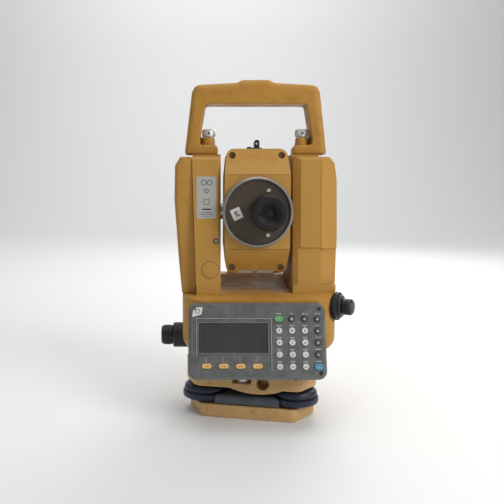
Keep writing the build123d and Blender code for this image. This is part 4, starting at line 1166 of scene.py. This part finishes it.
# ---- Alidade ----
@dataclass
class Alidade:
    """Lower housing, standards, circle cover, plate level, label, controls and fittings.

    Attributes:
        label_rings: Middle and outer radius of each ring on the label, in millimetres.
        label_bars: Middle and size of each bar on the label, in millimetres.
        cover_screws: Places (y, z) of the circle cover's screws.
        grips: For the clamp and the tangent knob: distance along the axis, radius, rib count, length, width.
    """

    hardware: Hardware
    edge: float = 2.2 * MM
    cover_edge: float = 3.4 * MM
    label_size: tuple[float, float] = (19.5 * MM, 41.0 * MM)
    label_centre: tuple[float, float] = (-49.6 * MM, 219.5 * MM)
    label_top: float = 0.22 * MM
    label_rings: tuple[Point, ...] = ((-2.6, 14.6, 2.7), (3.0, 14.6, 2.7), (0, 6.6, 2.2))
    label_bars: tuple[tuple[float, float, float, float], ...] = (
        (0, -1.6, 5.6, 0.5), (0, -6.6, 5.6, 0.5), (-2.55, -4.1, 0.5, 5.4), (2.55, -4.1, 0.5, 5.4),
        (0, -11.4, 8.6, 1.5), (0, -14.4, 11.0, 0.5), (0, -16.4, 13.0, 0.5), (0, -18.2, 9.0, 0.4),
    )
    plug_at: tuple[float, float] = (-46.2 * MM, 149.0 * MM)
    plug_radius_mm: float = 8.3
    adjuster_at: tuple[float, float] = (-40.3 * MM, 177.0 * MM)
    adjuster_radius: float = 2.1 * MM
    cap_radius_mm: float = 14.0
    tube_radius: float = 3.3 * MM
    cover_screws: tuple[tuple[float, float], ...] = ((-17.0, 148.0), (20.0, 148.0), (-17.0, 246.0), (20.0, 246.0))
    grips: tuple[tuple[str, float, float, int, float, float], ...] = (
        ("clamp", 24.1, 13.3, 40, 3.4, 0.9), ("tangent", 35.6, 7.45, 28, 6.0, 0.75),
    )

    def build(self) -> None:
        """Build and dress every piece."""
        casings = ("lower_housing", "left_standard", "right_standard", "circle_cover")
        FRAME.dress(Kind.CASING, *casings)
        for node in casings:
            soften(FRAME.nodes[node], self.cover_edge if node == "circle_cover" else self.edge)
        self.label()
        self.plug()
        self.level()
        self.bearing_caps()
        self.controls()

    def front_place(self, node: str, x: float, z: float) -> Matrix:
        """Matrix on a node's front face at (x, z), Z out of the face and Y up."""
        return frame_matrix(*FRAME.probe(node, (x, -FAR, z), (0, 1, 0)), UP)

    def label(self) -> None:
        """Silver plate on the left standard with plain marks: three rings, a box, a bar and lines."""
        place = self.front_place("left_standard", *self.label_centre)
        outline = rounded_rectangle(*self.label_size, 1.0 * MM)
        plates("rating_plate", "alidade", Kind.LABEL, place, [outline], -0.1 * MM, self.label_top)

        def draw(shape: BMesh) -> None:
            """Fill in the marks."""
            for x, y, outer in self.label_rings:
                lathe(shape, washer(outer, outer - 0.7, 0, 0.07), 28, (x * MM, y * MM))
            for sizes in self.label_bars:
                slab(shape, bar(*sizes), 0, 0.07 * MM)

        placed("rating_plate_marks", "alidade", Kind.INK, lifted(place, self.label_top - 0.02 * MM), draw)

    def plug(self) -> None:
        """Round service plug and the silver adjusting screw on the left standard."""
        place = self.front_place("left_standard", *self.plug_at)
        r = self.plug_radius_mm
        dome = scaled((0, 0.55), (r - 0.8, 0.55), (r - 0.2, 0.3), (r, 0.0), (r, -0.5), (0, -0.5))
        turned("service_plug", "alidade", Kind.CASING, place, dome, 56)
        seam = washer(r + 0.35, r - 0.1, -0.3, 0.06)
        turned("service_plug_seam", "alidade", Kind.INK, place, seam, 56, smooth=False)
        place = self.front_place("left_standard", *self.adjuster_at)
        # Painted shade: a black ring round the adjusting screw stands for the shade in its well.
        turned("adjuster_well", "alidade", Kind.BLACK, place, washer(2.9, 2.1, -0.4, 0.12), 32, smooth=False)
        normal = place.to_3x3() @ UP
        self.hardware.screws(
            "adjuster_screw", "alidade", [(place.translation - normal * 0.5 * MM, normal)], Kind.STEEL,
            self.adjuster_radius, Socket.SLOT, 1.3 * MM,
        )

    def level(self) -> None:
        """Plate level: holder, spirit tube and its graduations."""
        FRAME.dress(Kind.ALLOY, "plate_level")
        low, high = FRAME.low("plate_level"), FRAME.high("plate_level")
        middle = (low + high) / 2
        length = (high.x - low.x) / 2 - 5.4 * MM
        height = high.z - self.tube_radius + 0.1 * MM
        place = frame_matrix(Vector((-length, middle.y, height)), Vector((1, 0, 0)), UP)
        tube = disc(self.tube_radius, 0, 2 * length)
        turned("plate_level_spirit", "alidade", Kind.SPIRIT, place, tube, 32, smooth=False)
        top = high.z + 0.12 * MM
        lines = [rectangle(i * 4.0 * MM, middle.y, 0.3 * MM, 3.2 * MM) for i in (-3, -2, -1, 1, 2, 3)]
        plates("plate_level_lines", "alidade", Kind.INK, Matrix.Identity(4), lines, top - 0.3 * MM, top)

    def bearing_caps(self) -> None:
        """Round cap over the trunnion on the circle cover, with its height mark and four cover screws."""
        height = FRAME.centre("trunnion_axle").z
        place = frame_matrix(*FRAME.probe("circle_cover", (FAR, 0, height), (-1, 0, 0)), UP)
        r = self.cap_radius_mm
        dome = scaled((0, 0.9), (r - 1.2, 0.9), (r - 0.3, 0.6), (r, 0.0), (r, -0.6), (0, -0.6))
        turned("trunnion_cap", "alidade", Kind.CASING, place, dome, 64)

        def cross(shape: BMesh) -> None:
            """Fill in the height mark."""
            for sizes in ((0, 0, 6.0, 0.6), (0, 0, 0.6, 6.0)):
                slab(shape, bar(*sizes), 0.85 * MM, 0.97 * MM)
            lathe(shape, washer(4.4, 3.9, 0.85, 0.97), 48)

        placed("trunnion_height_mark", "alidade", Kind.INK, place, cross)
        places = []
        for y, z in self.cover_screws:
            point, normal = FRAME.probe("circle_cover", (FAR, y * MM, z * MM), (-1, 0, 0))
            places.append((point - normal * 0.6 * MM, normal))
        self.hardware.screws("circle_cover_screws", "alidade", places, Kind.STEEL, 2.4 * MM, Socket.CROSS, 1.2 * MM)

    def controls(self) -> None:
        """Black clamps, tangent knobs and optical plummet, with their grips."""
        nodes = ("control_housings", "h_clamp", "h_tangent", "v_clamp", "v_tangent", "plummet_eyepiece")
        FRAME.dress(Kind.BLACK, *nodes)
        for side in "hv":
            pivot, axis = FRAME.pivot(f"{side}_clamp_turn"), FRAME.axis(f"{side}_clamp_turn")
            for part, reach, radius, count, length, width in self.grips:
                self.hardware.grip(
                    f"{side}_{part}_ribs", f"{side}_{part}", frame_matrix(pivot + axis * reach * MM, axis, UP),
                    Kind.BLACK, count, radius * MM, length * MM, width * MM,
                )
        end, left = FRAME.centre("plummet_eyepiece"), Vector((-1, 0, 0))
        end.x = FRAME.low("plummet_eyepiece").x
        middle = frame_matrix(end - left * 6.2 * MM, left, UP)
        self.hardware.grip(
            "plummet_eyepiece_ribs", "plummet_eyepiece", middle, Kind.BLACK, 34, 9.75 * MM, 6.0 * MM, 0.8 * MM
        )
        lens = scaled((0, 0.6), (2, 0.4), (3.1, 0.0), (3.1, -0.4), (0, -0.4))
        place = frame_matrix(end - left * 2.9 * MM, left, UP)
        turned("plummet_lens", "plummet_eyepiece", PALETTE.glass(), place, lens, 32)


# ---- Keyboard ----
ARROWS = {"left": 90, "right": -90, "up": 0, "down": 180}


@dataclass
class Keyboard:
    """Slanted keyboard: moulding, display, keys with digits and arrows, trims and stickers.

    Attributes:
        well_inset: Distance of the corner wells from the panel's sides and ends.
        place: Matrix of the panel's face, X to the right, Y up the panel and Z out of it.
        window: Size of the display.
        face: Half the width and height of the panel's face.
    """

    hardware: Hardware
    frame_height: float = 0.8 * MM
    well_inset: tuple[float, float] = (3.4 * MM, 3.3 * MM)
    mark_height: float = 0.09 * MM
    digit_size: float = 3.6 * MM
    place: Matrix = field(default_factory=Matrix)
    window: tuple[float, float] = (0.0, 0.0)
    face: tuple[float, float] = (0.0, 0.0)

    def build(self) -> None:
        """Build and dress every piece."""
        self.find_panel()
        FRAME.dress(Kind.PANEL, "keypad_housing")
        soften(FRAME.nodes["keypad_housing"], 1.0 * MM, 28.0)
        FRAME.dress(Kind.SCREEN, "display_window")
        self.display()
        self.keys()
        self.trims()
        self.prints()
        self.sticker()

    def find_panel(self) -> None:
        """Work out the panel's plane, its middle and its half sizes."""
        normal = -FRAME.axis("key_f1_press")
        reach = max(v.co.dot(normal) for v in FRAME.nodes["keypad_housing"].data.vertices)
        centre = FRAME.centre("keypad_housing")
        self.place = frame_matrix(centre + normal * (reach - centre.dot(normal)), normal, UP)
        face = [v for v in self.flat("keypad_housing") if abs(v.z) < 0.05 * MM]
        low = Vector([min(v[i] for v in face) for i in range(2)])
        high = Vector([max(v[i] for v in face) for i in range(2)])
        self.place = self.on(*(low + high) / 2)
        self.face = tuple((high - low) / 2)

    def flat(self, node: str) -> list[Vector]:
        """Corners of a node in the panel's own frame."""
        inverse = self.place.inverted()
        return [inverse @ v.co for v in FRAME.nodes[node].data.vertices]

    def spot(self, node: str) -> tuple[float, float]:
        """Place of a node's middle in the panel's plane."""
        centre = self.place.inverted() @ FRAME.centre(node)
        return centre.x, centre.y

    def on(self, x: float, y: float, lift: float = 0.0) -> Matrix:
        """Matrix at a point of the panel."""
        return self.place @ Matrix.Translation((x, y, lift))

    def display(self) -> None:
        """Display: its bezel and the line round the cell."""
        x, y = self.spot("display_window")
        flat = self.flat("display_window")
        self.window = tuple(max(v[i] for v in flat) - min(v[i] for v in flat) for i in range(2))
        width, height = self.window
        placed(
            "display_bezel", "alidade", Kind.PANEL, self.on(x, y),
            lambda s: frame_strip(s, width + 1.6 * MM, height + 1.6 * MM, 1.2 * MM, 1.5 * MM, -1.0 * MM, 0.5 * MM),
            bevel=0.2 * MM,
        )
        placed(
            "display_cell", "alidade", Kind.INK, self.on(x, y, -0.82 * MM),
            lambda s: frame_strip(s, width - 3 * MM, height - 3 * MM, 0.5 * MM, 0.5 * MM, 0, 0.06 * MM),
        )

    def keys(self) -> None:
        """Key colours, and the digit or mark on each."""
        kinds = {"power": Kind.KEY_GREEN, "enter": Kind.KEY_BLUE}
        kinds.update(dict.fromkeys(("star", "esc", *ARROWS), Kind.KEY_DARK))
        kinds.update(dict.fromkeys(("f1", "f2", "f3", "f4"), Kind.KEY_ORANGE))
        for node in [n for n in FRAME.nodes if n.startswith("key_")]:
            name = node.removeprefix("key_")
            FRAME.dress(kinds.get(name, Kind.KEY_WHITE), node)
            soften(FRAME.nodes[node], 0.25 * MM, 25.0, 2)
            self.legend(node, name)

    def legend(self, node: str, name: str) -> None:
        """Mark on one key cap."""
        x, y = self.spot(node)
        normal = self.place.to_3x3() @ UP
        cap = max(v.co.dot(normal) for v in FRAME.nodes[node].data.vertices)
        place = self.on(x, y, cap - self.place.translation.dot(normal) - 0.03 * MM)
        if name.isdigit():
            glyph(f"{node}_digit", node, name, self.digit_size, place, Kind.INK)
            return
        pale = {
            "star": [star_outline(1.9 * MM)], "esc": [bar(0, 0.7, 3.0, 0.5), bar(0, -0.7, 3.0, 0.5)],
            "power": [bar(0, 0.2, 0.5, 2.0)], "enter": [bar(0, 0, 3.6, 0.55)],
            **{way: [arrow(turn)] for way, turn in ARROWS.items()},
        }
        dark = {"dot": [circle_outline(0.6 * MM, 14)], "minus": [bar(0, 0, 2.4, 0.55)]}
        outlines = {**pale, **dark}.get(name, [bar(-1.2, 0, 1.2, 0.5), bar(1.0, 0, 2.0, 0.5)])
        kind = Kind.PRINT if name in pale else Kind.INK
        plates(f"{node}_mark", node, kind, place, outlines, 0, self.mark_height)

    def trims(self) -> None:
        """Ridges round the display side, pale painted highlight lines along them, and the corner screws on black discs
        of painted well shade.
        """
        x, y = self.spot("display_window")
        half_x, half_y = self.window[0] / 2, self.window[1] / 2
        right = x + half_x + 3.4 * MM
        left, top = x - half_x - 2.2 * MM, y + half_y + 4.6 * MM
        bottom = 5.5 * MM - self.face[1]
        strips = (
            (right, (top + bottom) / 2, 1.3 * MM, top - bottom),
            ((left + right) / 2, top, right - left + 1.3 * MM, 0.9 * MM),
            (left, top - 18.0 * MM, 0.8 * MM, 36.0 * MM),
        )
        ridges = [rectangle(*strip) for strip in strips]
        plates(
            "display_side_ridge", "alidade", Kind.PANEL, self.place, ridges, -0.2 * MM, self.frame_height,
            bevel=0.3 * MM,
        )
        # Painted highlights: thin pale lines along the ridges stand in for the light that their edges catch.
        lines = []
        for x, y, w, h in strips:
            lines.append(rectangle(x, y, min(w, 0.32 * MM), h) if h > w else rectangle(x, y, w, min(h, 0.3 * MM)))
        low, high = self.frame_height - 0.1 * MM, self.frame_height + 0.03 * MM
        plates("display_ridge_lines", "alidade", Kind.PRINT, self.place, lines, low, high)
        half, tall = self.face[0] - self.well_inset[0], self.face[1] - self.well_inset[1]
        normal = self.place.to_3x3() @ UP
        wells = [self.on(sx * half, sy * tall) for sx, sy in SQUARE[1:]]
        # Painted shade: a flat black disc in each corner stands for the shade in the screw's well.
        for i, well in enumerate(wells):
            hole_shade = disc(1.9 * MM, 0.04 * MM, -0.3 * MM)
            turned(f"corner_well_{i + 1}", "alidade", Kind.BLACK, well, hole_shade, 28, smooth=False)
        places = [(well.translation - normal * 0.5 * MM, normal) for well in wells]
        self.hardware.screws("panel_screws", "alidade", places, Kind.BLACK, 1.35 * MM, Socket.CROSS, 0.75 * MM)

    def caption(self, node: str) -> list[Outline]:
        """Outlines of the plain mark printed over one key."""
        x, y = (c / MM for c in self.spot(node))
        name = node.removeprefix("key_")
        if name.startswith("f"):
            return [bar(x - 0.6, y + 6.2, 0.32, 4.4)]
        if name in ARROWS:
            return [moved(arrow(ARROWS[name], 0.7), x - 1.0, y + 5.2), bar(x + 1.8, y + 5.2, 2.2, 0.45)]
        if name == "star":
            return [moved(star_outline(1.1 * MM), x, y + 5.2)]
        if name in ("power", "enter", "esc"):
            return [bar(x, y + 5.3, 5.2, 0.8)]
        return [bar(x + step, y + 5.0, 1.1, 1.0) for step in (-1.5, 0, 1.5)]

    def prints(self) -> None:
        """Pale printed marks above the keys."""
        outlines = [mark for node in FRAME.nodes if node.startswith("key_") for mark in self.caption(node)]
        plates("panel_prints", "alidade", Kind.PRINT, self.place, outlines, -0.05 * MM, 0.05 * MM)

    def sticker(self) -> None:
        """Small white sticker on the panel's top left corner, with a plain ring on it."""
        place = self.on(6.4 * MM - self.face[0], self.face[1] - 5.6 * MM)
        outline = scaled((-5.6, -5.4), (3.2, -2.9), (4.2, 3.9), (-1.8, 3.7), (-4.4, 1.6))
        plates("corner_sticker", "alidade", Kind.PAPER, place, [outline], -0.1 * MM, 0.14 * MM)
        place = place @ Matrix.Translation((-0.6 * MM, 0, 0.12 * MM))
        turned("corner_sticker_ring", "alidade", Kind.INK, place, washer(2.3, 1.7, 0, 0.08), 28, smooth=False)


def arrow(turn: float, size: float = 1.0) -> Outline:
    """Outline of a solid arrow head that points up, turned by degrees."""
    points = ((0.0, 1.5), (-1.35, -0.9), (1.35, -0.9))
    c, s = math.cos(math.radians(turn)), math.sin(math.radians(turn))
    return [((x * c - y * s) * size * MM, (x * s + y * c) * size * MM) for x, y in points]


def moved(outline: Outline, x: float, y: float) -> Outline:
    """An outline moved by millimetres."""
    return [(px + x * MM, py + y * MM) for px, py in outline]


def star_outline(radius: float) -> Outline:
    """Outline of a five-pointed star."""
    outline = []
    for i in range(10):
        r = radius if i % 2 == 0 else radius * 0.42
        angle = math.pi / 2 + math.pi * i / 5
        outline.append((r * math.cos(angle), r * math.sin(angle)))
    return outline


def frame_strip(
    shape: BMesh, width: float, height: float, strip: float, radius: float, z0: float, z1: float
) -> None:
    """Add a rectangular frame with rounded corners between two heights."""
    outer = rounded_rectangle(width + strip, height + strip, radius)
    inner = rounded_rectangle(width - strip, height - strip, max(radius - strip, 0.1 * MM))
    rings = []
    for outline, z in ((outer, z0), (outer, z1), (inner, z1), (inner, z0)):
        rings.append([shape.verts.new((x, y, z)) for x, y in outline])
    for here, there in zip(rings, rings[1:] + rings[:1]):
        join_rings(shape, here, there)


def glyph(name: str, body: str, text: str, size: float, place: Matrix, kind: Kind) -> Object:
    """Make a digit as a thin raised mesh.

    Args:
        name: Piece name.
        body: CAD body that it rides on.
        text: The digit.
        size: Height of the font.
        place: Matrix to its place.
        kind: Finish.

    Returns:
        The piece.
    """
    curve = bpy.data.curves.new(name, "FONT")
    curve.body = text
    curve.size = size
    curve.align_x = "CENTER"
    curve.align_y = "CENTER"
    curve.extrude = 0.05 * MM
    curve.resolution_u = 4
    carrier = bpy.data.objects.new(name, curve)
    bpy.context.scene.collection.objects.link(carrier)
    mesh = evaluated_mesh(carrier)
    bpy.data.objects.remove(carrier)
    mesh.transform(lifted(place, 0.04 * MM))
    return ride(make_object(name, mesh, PALETTE(kind)), body)


# ---- Battery and handle ----
@dataclass
class Battery:
    """Battery pack on the left standard and its latch."""

    hardware: Hardware
    edge: float = 3.4 * MM
    latch_edge: float = 0.6 * MM

    def build(self) -> None:
        """Dress the pack and its latch."""
        FRAME.dress(Kind.CASING, "battery_pack")
        soften(FRAME.nodes["battery_pack"], self.edge, segments=4)
        FRAME.dress(Kind.BLACK, "battery_latch")
        soften(FRAME.nodes["battery_latch"], self.latch_edge)


@dataclass
class Handle:
    """Carrying handle and its two lock screws.

    Attributes:
        case_screws: Places (x, z) of the small screws, on the front and on the back, in millimetres.
        head_middle: Depth of the middle of a lock screw's head under its top.
        knurl_radius: Radius that the knurl's ribs stand on.
    """

    hardware: Hardware
    voxel: float = 0.8 * MM
    passes: int = 28
    head_middle: float = 3.8 * MM
    knurl_radius: float = 6.55 * MM
    case_screws: tuple[tuple[float, float], ...] = ((0.0, 325.0), (-53.0, 266.6), (53.0, 266.6))

    def build(self) -> None:
        """Build and dress every piece."""
        skin = cast_copy("handle_moulding", ["handle"], self.voxel, self.passes)
        skin.data.materials.append(PALETTE(Kind.CASING))
        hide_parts("handle")
        ride(skin, "handle")
        self.lock_screws()
        self.screws()

    def lock_screws(self) -> None:
        """Knurled heads of the lock screws, each with a black disc of painted shade where its cross bore is."""
        for side in ("left", "right"):
            node = f"handle_screw_{side}"
            FRAME.dress(Kind.ALLOY, node)
            centre = FRAME.centre(node)
            centre.z = FRAME.high(node).z - self.head_middle
            place = Matrix.Translation(centre)
            self.hardware.grip(
                f"{node}_knurl", node, place, Kind.ALLOY, 44, self.knurl_radius, 5.4 * MM, 0.55 * MM
            )
            # Painted shade: a black disc on the knurl stands for the dark inside of the cross bore.
            spot = place @ Matrix.Translation((0, -self.knurl_radius - 0.2 * MM, 0)) @ Matrix.Rotation(
                math.pi / 2, 4, "X"
            )
            hole_shade = disc(1.1 * MM, 0.25 * MM, -0.8 * MM)
            turned(f"{node}_hole", node, Kind.BLACK, spot, hole_shade, 20, smooth=False)

    def screws(self) -> None:
        """Small sunk screws in the middle of the bar and in each foot."""
        places = []
        for x, z in self.case_screws:
            for side in (-1, 1):
                point, normal = FRAME.probe("handle", (x * MM, side * FAR, z * MM), (0, -side, 0))
                places.append((point - normal * 0.75 * MM, normal))
        self.hardware.screws("handle_case_screws", "handle", places, Kind.CASING, 1.5 * MM, Socket.HEX, 0.9 * MM)


# ---- Telescope ----
@dataclass
class Telescope:
    """Telescope: casings, eyepiece end, objective end, focusing ring and sight.

    Attributes:
        plate_screws: Heights of the eyepiece plate's screws over the eyepiece's axis.
        sticker_at: Place of the sticker beside the axis and over the trunnion.
        cover_screw_at: Distances of the covers' screws from the middle, sideways and upwards.
        stamps: Strokes on the sticker, in millimetres.
    """

    hardware: Hardware
    edge: float = 1.6 * MM
    plate_screws: tuple[float, float] = (20.9 * MM, -21.8 * MM)
    sticker_at: tuple[float, float] = (-20.5 * MM, -1.5 * MM)
    sticker_turn: float = 24.0
    cover_screw_at: tuple[float, float] = (24.2 * MM, 55.4 * MM)
    stamps: tuple[tuple[float, float, float, float], ...] = (
        (0, 2.0, 3.2, 1.3), (-0.4, 0, 2.6, 1.2), (0.5, -2.0, 3.6, 1.3), (-1.0, 1.0, 0.8, 3.0),
    )

    def build(self) -> None:
        """Build and dress every piece."""
        FRAME.dress(Kind.CASING, "telescope_body", "telescope_covers")
        for node in ("telescope_body", "telescope_covers"):
            soften(FRAME.nodes[node], self.edge, 32.0)
        FRAME.dress(Kind.RING, "focus_ring")
        FRAME.dress(Kind.PLATE, "eyepiece_plate")
        FRAME.dress(Kind.BLACK, "peep_sight")
        FRAME.dress(Kind.RUBBER, "eyepiece")
        FRAME.dress(Kind.STEEL, "trunnion_axle")
        FRAME.dress(PALETTE.glass(), "objective_lens", "focus_lens")
        soften(FRAME.nodes["peep_sight"], 0.5 * MM)
        self.eyepiece_end()
        self.objective_end()
        self.cover_fittings()

    def front(self, x: float, y: float, dz: float) -> Matrix:
        """Matrix on the eyepiece side, Z towards the observer, at a height above the trunnion."""
        height = FRAME.pivot("telescope_turn").z
        return frame_matrix(Vector((x, y, height + dz)), FRONT, UP)

    def eyepiece_end(self) -> None:
        """Focusing ring's ribs, plate screws, sticker and eyepiece grip."""
        ring_low, ring_high = FRAME.low("focus_ring"), FRAME.high("focus_ring")
        radius = (ring_high.x - ring_low.x) / 2 - 0.25 * MM
        middle = self.front(0, (ring_low.y + ring_high.y) / 2 + 0.7 * MM, 0)
        self.hardware.grip("focus_ring_ribs", "focus_ring", middle, Kind.RING, 96, radius, 4.0 * MM, 0.7 * MM)
        plate = FRAME.low("eyepiece_plate").y
        centre = FRAME.centre("eyepiece")
        places = [
            (Vector((centre.x + 0.5 * MM, plate + 0.2 * MM, centre.z + height)), FRONT) for height in self.plate_screws
        ]
        self.hardware.screws("plate_screws", "telescope", places, Kind.STEEL, 1.9 * MM, Socket.CROSS, 1.0 * MM)
        x, dz = self.sticker_at
        place = self.front(x, plate, dz) @ Matrix.Rotation(math.radians(self.sticker_turn), 4, "Z")
        outline = rounded_rectangle(9.6 * MM, 11.0 * MM, 0.5 * MM)
        plates("plate_sticker", "telescope", Kind.PAPER, place, [outline], -0.05 * MM, 0.15 * MM)
        stamps = [bar(*sizes) for sizes in self.stamps]
        plates("plate_sticker_marks", "telescope", Kind.INK, lifted(place, 0.13 * MM), stamps, 0, 0.06 * MM)
        grip = frame_matrix(Vector((centre.x, FRAME.low("eyepiece").y + 16.5 * MM, centre.z)), FRONT, UP)
        self.hardware.grip("eyepiece_ribs", "eyepiece", grip, Kind.RUBBER, 60, 16.85 * MM, 12.0 * MM, 0.7 * MM)

    def objective_end(self) -> None:
        """Black lining, retaining ring and rim of the objective barrel."""
        end = FRAME.high("telescope_body").y
        low, high = FRAME.low("objective_lens"), FRAME.high("objective_lens")
        bore = (high.x - low.x) / 2 / MM
        rim = (end - high.y) / MM + 0.25
        height = FRAME.pivot("telescope_turn").z
        place = frame_matrix(Vector((0, high.y, height)), -FRONT, UP)
        lining = scaled(
            (bore - 0.05, 0.1), (bore - 0.05, rim), (bore + 2.6, rim), (bore + 2.6, rim + 0.4),
            (bore - 1.0, rim + 0.4), (bore - 1.4, 3.0), (bore - 3.2, 1.2), (bore - 3.2, 0.1),
        )
        turned("objective_lining", "telescope", Kind.BLACK, place, lining, 72)
        barrel = self.front(0, end - 7.0 * MM, 0)
        self.hardware.grip("objective_ribs", "telescope", barrel, Kind.CASING, 60, 27.0 * MM, 9.0 * MM, 0.9 * MM)
        place = frame_matrix(Vector((0, low.y - 0.3 * MM, height)), FRONT, UP)
        turned("objective_baffle", "telescope", Kind.BLACK, place, washer(17.8, 17.0, 0, 30), 64)

    def cover_fittings(self) -> None:
        """Screws in the covers' wells and the pale strip under the bottom cover."""
        node = "telescope_covers"
        height = FRAME.pivot("telescope_turn").z
        x, rise = self.cover_screw_at
        places = []
        for sz, sx, side in product((-1, 1), repeat=3):
            point, _ = FRAME.probe(node, (sx * x, side * FAR, height + sz * rise), (0, -side, 0))
            outward = Vector((0, side, 0))
            places.append((point - outward * 0.3 * MM, outward))
        self.hardware.screws("cover_screws", "telescope", places, Kind.RING, 2.05 * MM, Socket.CROSS, 1.3 * MM)
        place = frame_matrix(*FRAME.probe(node, (0, -FAR, FRAME.low(node).z + 1.6 * MM), (0, 1, 0)), UP)
        strip = rounded_rectangle(37 * MM, 3.0 * MM, 0.4 * MM)
        plates("serial_strip", "telescope", Kind.LABEL, place, [strip], -0.05 * MM, 0.2 * MM)
        # Painted shade: black bars on the strip stand for the shade inside its two slots.
        slot_shades = [bar(-1.0, 0, 5.0, 1.2), bar(19.5, 0, 5.6, 1.2)]
        plates("serial_strip_slots", "telescope", Kind.BLACK, place, slot_shades, 0, 0.26 * MM)


# ---- Studio ----
@dataclass(frozen=True)
class AreaLight:
    """One soft studio light.

    Attributes:
        name: Name of the light.
        at: Its place.
        aim: Point that it faces.
        size: Side of its square.
        power: Power in watts.
        colour: Linear colour.
    """

    name: str
    at: Point
    aim: Point
    size: float
    power: float
    colour: Colour

    def build(self) -> None:
        """Add the light."""
        light = bpy.data.lights.new(self.name, "AREA")
        light.size = self.size
        light.energy = self.power
        light.color = self.colour
        lamp = bpy.data.objects.new(self.name, light)
        lamp.location = self.at
        lamp.rotation_euler = (Vector(self.aim) - Vector(self.at)).to_track_quat("-Z", "Y").to_euler()
        bpy.context.scene.collection.objects.link(lamp)


@dataclass
class Studio:
    """Floor with its curved backdrop, soft lights and the camera."""

    camera_at: Point = (-0.045, -0.620, 0.2276)
    pitch_down: float = 6.0
    lens: float = 42.6
    shift_x: float = 0.081
    floor_colour: Colour = (0.83, 0.83, 0.82)
    world_colour: Colour = (0.93, 0.96, 1.0)
    world_strength: float = 0.31
    lights: tuple[AreaLight, ...] = (
        AreaLight("key light", (0.86, -0.80, 0.82), (0, 0, 0.17), 0.6, 9.6, (1.0, 0.98, 0.95)),
        AreaLight("fill light", (-1.2, -1.0, 0.7), (0, 0, 0.17), 1.2, 1.3, (0.96, 0.98, 1.0)),
        AreaLight("rim light", (0.5, 1.2, 1.1), (0, 0, 0.17), 0.9, 10.0, (1.0, 1.0, 1.0)),
        AreaLight("top light", (0.0, -0.1, 1.6), (0, 0, 0.17), 1.1, 7.5, (1.0, 1.0, 1.0)),
        AreaLight("backdrop light", (0.0, 1.6, 2.6), (0, 3.4, 0.9), 1.4, 38.0, (1.0, 1.0, 1.0)),
    )

    def build(self) -> None:
        """Build the stage."""
        self.floor()
        for light in self.lights:
            light.build()
        self.camera()
        world = bpy.data.worlds.new("studio")
        bpy.context.scene.world = world
        world.use_nodes = True
        background = world.node_tree.nodes["Background"]
        background.inputs["Color"].default_value = (*self.world_colour, 1.0)
        background.inputs["Strength"].default_value = self.world_strength
        bpy.context.scene.view_settings.view_transform = "Standard"

    def floor(self) -> None:
        """Plain pale floor that curves up into a backdrop far behind."""
        base = CAD_BOX[0].z - 0.0002
        flat, radius, top, half = 2.2, 1.2, 3.2, 4.0
        profile = [(-3.0, base), (flat, base)]
        for i in range(1, 13):
            angle = math.pi / 2 * i / 12
            profile.append((flat + radius * math.sin(angle), base + radius * (1 - math.cos(angle))))
        profile.append((flat + radius, top))

        def sweep(shape: BMesh) -> None:
            """Fill in the sheet."""
            rows = [[shape.verts.new((sx * half, y, z)) for y, z in profile] for sx in (-1, 1)]
            for i in range(len(profile) - 1):
                shape.faces.new((rows[0][i], rows[1][i], rows[1][i + 1], rows[0][i + 1]))

        mesh = mesh_from("floor", sweep)
        material = bpy.data.materials.new("pale floor")
        material.use_nodes = True
        shader = material.node_tree.nodes["Principled BSDF"]
        shader.inputs["Base Color"].default_value = (*self.floor_colour, 1)
        shader.inputs["Roughness"].default_value = 0.75
        make_object("floor", mesh, material)

    def camera(self) -> None:
        """Camera in front and a little to the left, looking slightly down."""
        camera = bpy.data.cameras.new("camera")
        camera.lens = self.lens
        camera.sensor_width = 36.0
        camera.shift_x = self.shift_x
        camera.clip_start = 0.02
        seen = bpy.data.objects.new("camera", camera)
        seen.location = self.camera_at
        seen.rotation_euler = (math.radians(90 - self.pitch_down), 0, 0)
        bpy.context.scene.collection.objects.link(seen)
        bpy.context.scene.camera = seen


def main() -> None:
    """Build every sub-assembly round the frame."""
    logging.basicConfig(level=logging.INFO, format="%(name)s: %(message)s")
    hardware = Hardware()
    for assembly in (
        Tribrach(hardware), Alidade(hardware), Keyboard(hardware), Battery(hardware), Handle(hardware),
        Telescope(hardware), Studio(),
    ):
        assembly.build()
        LOG.info("%s done", type(assembly).__name__)


if __name__ == "__main__":
    main()
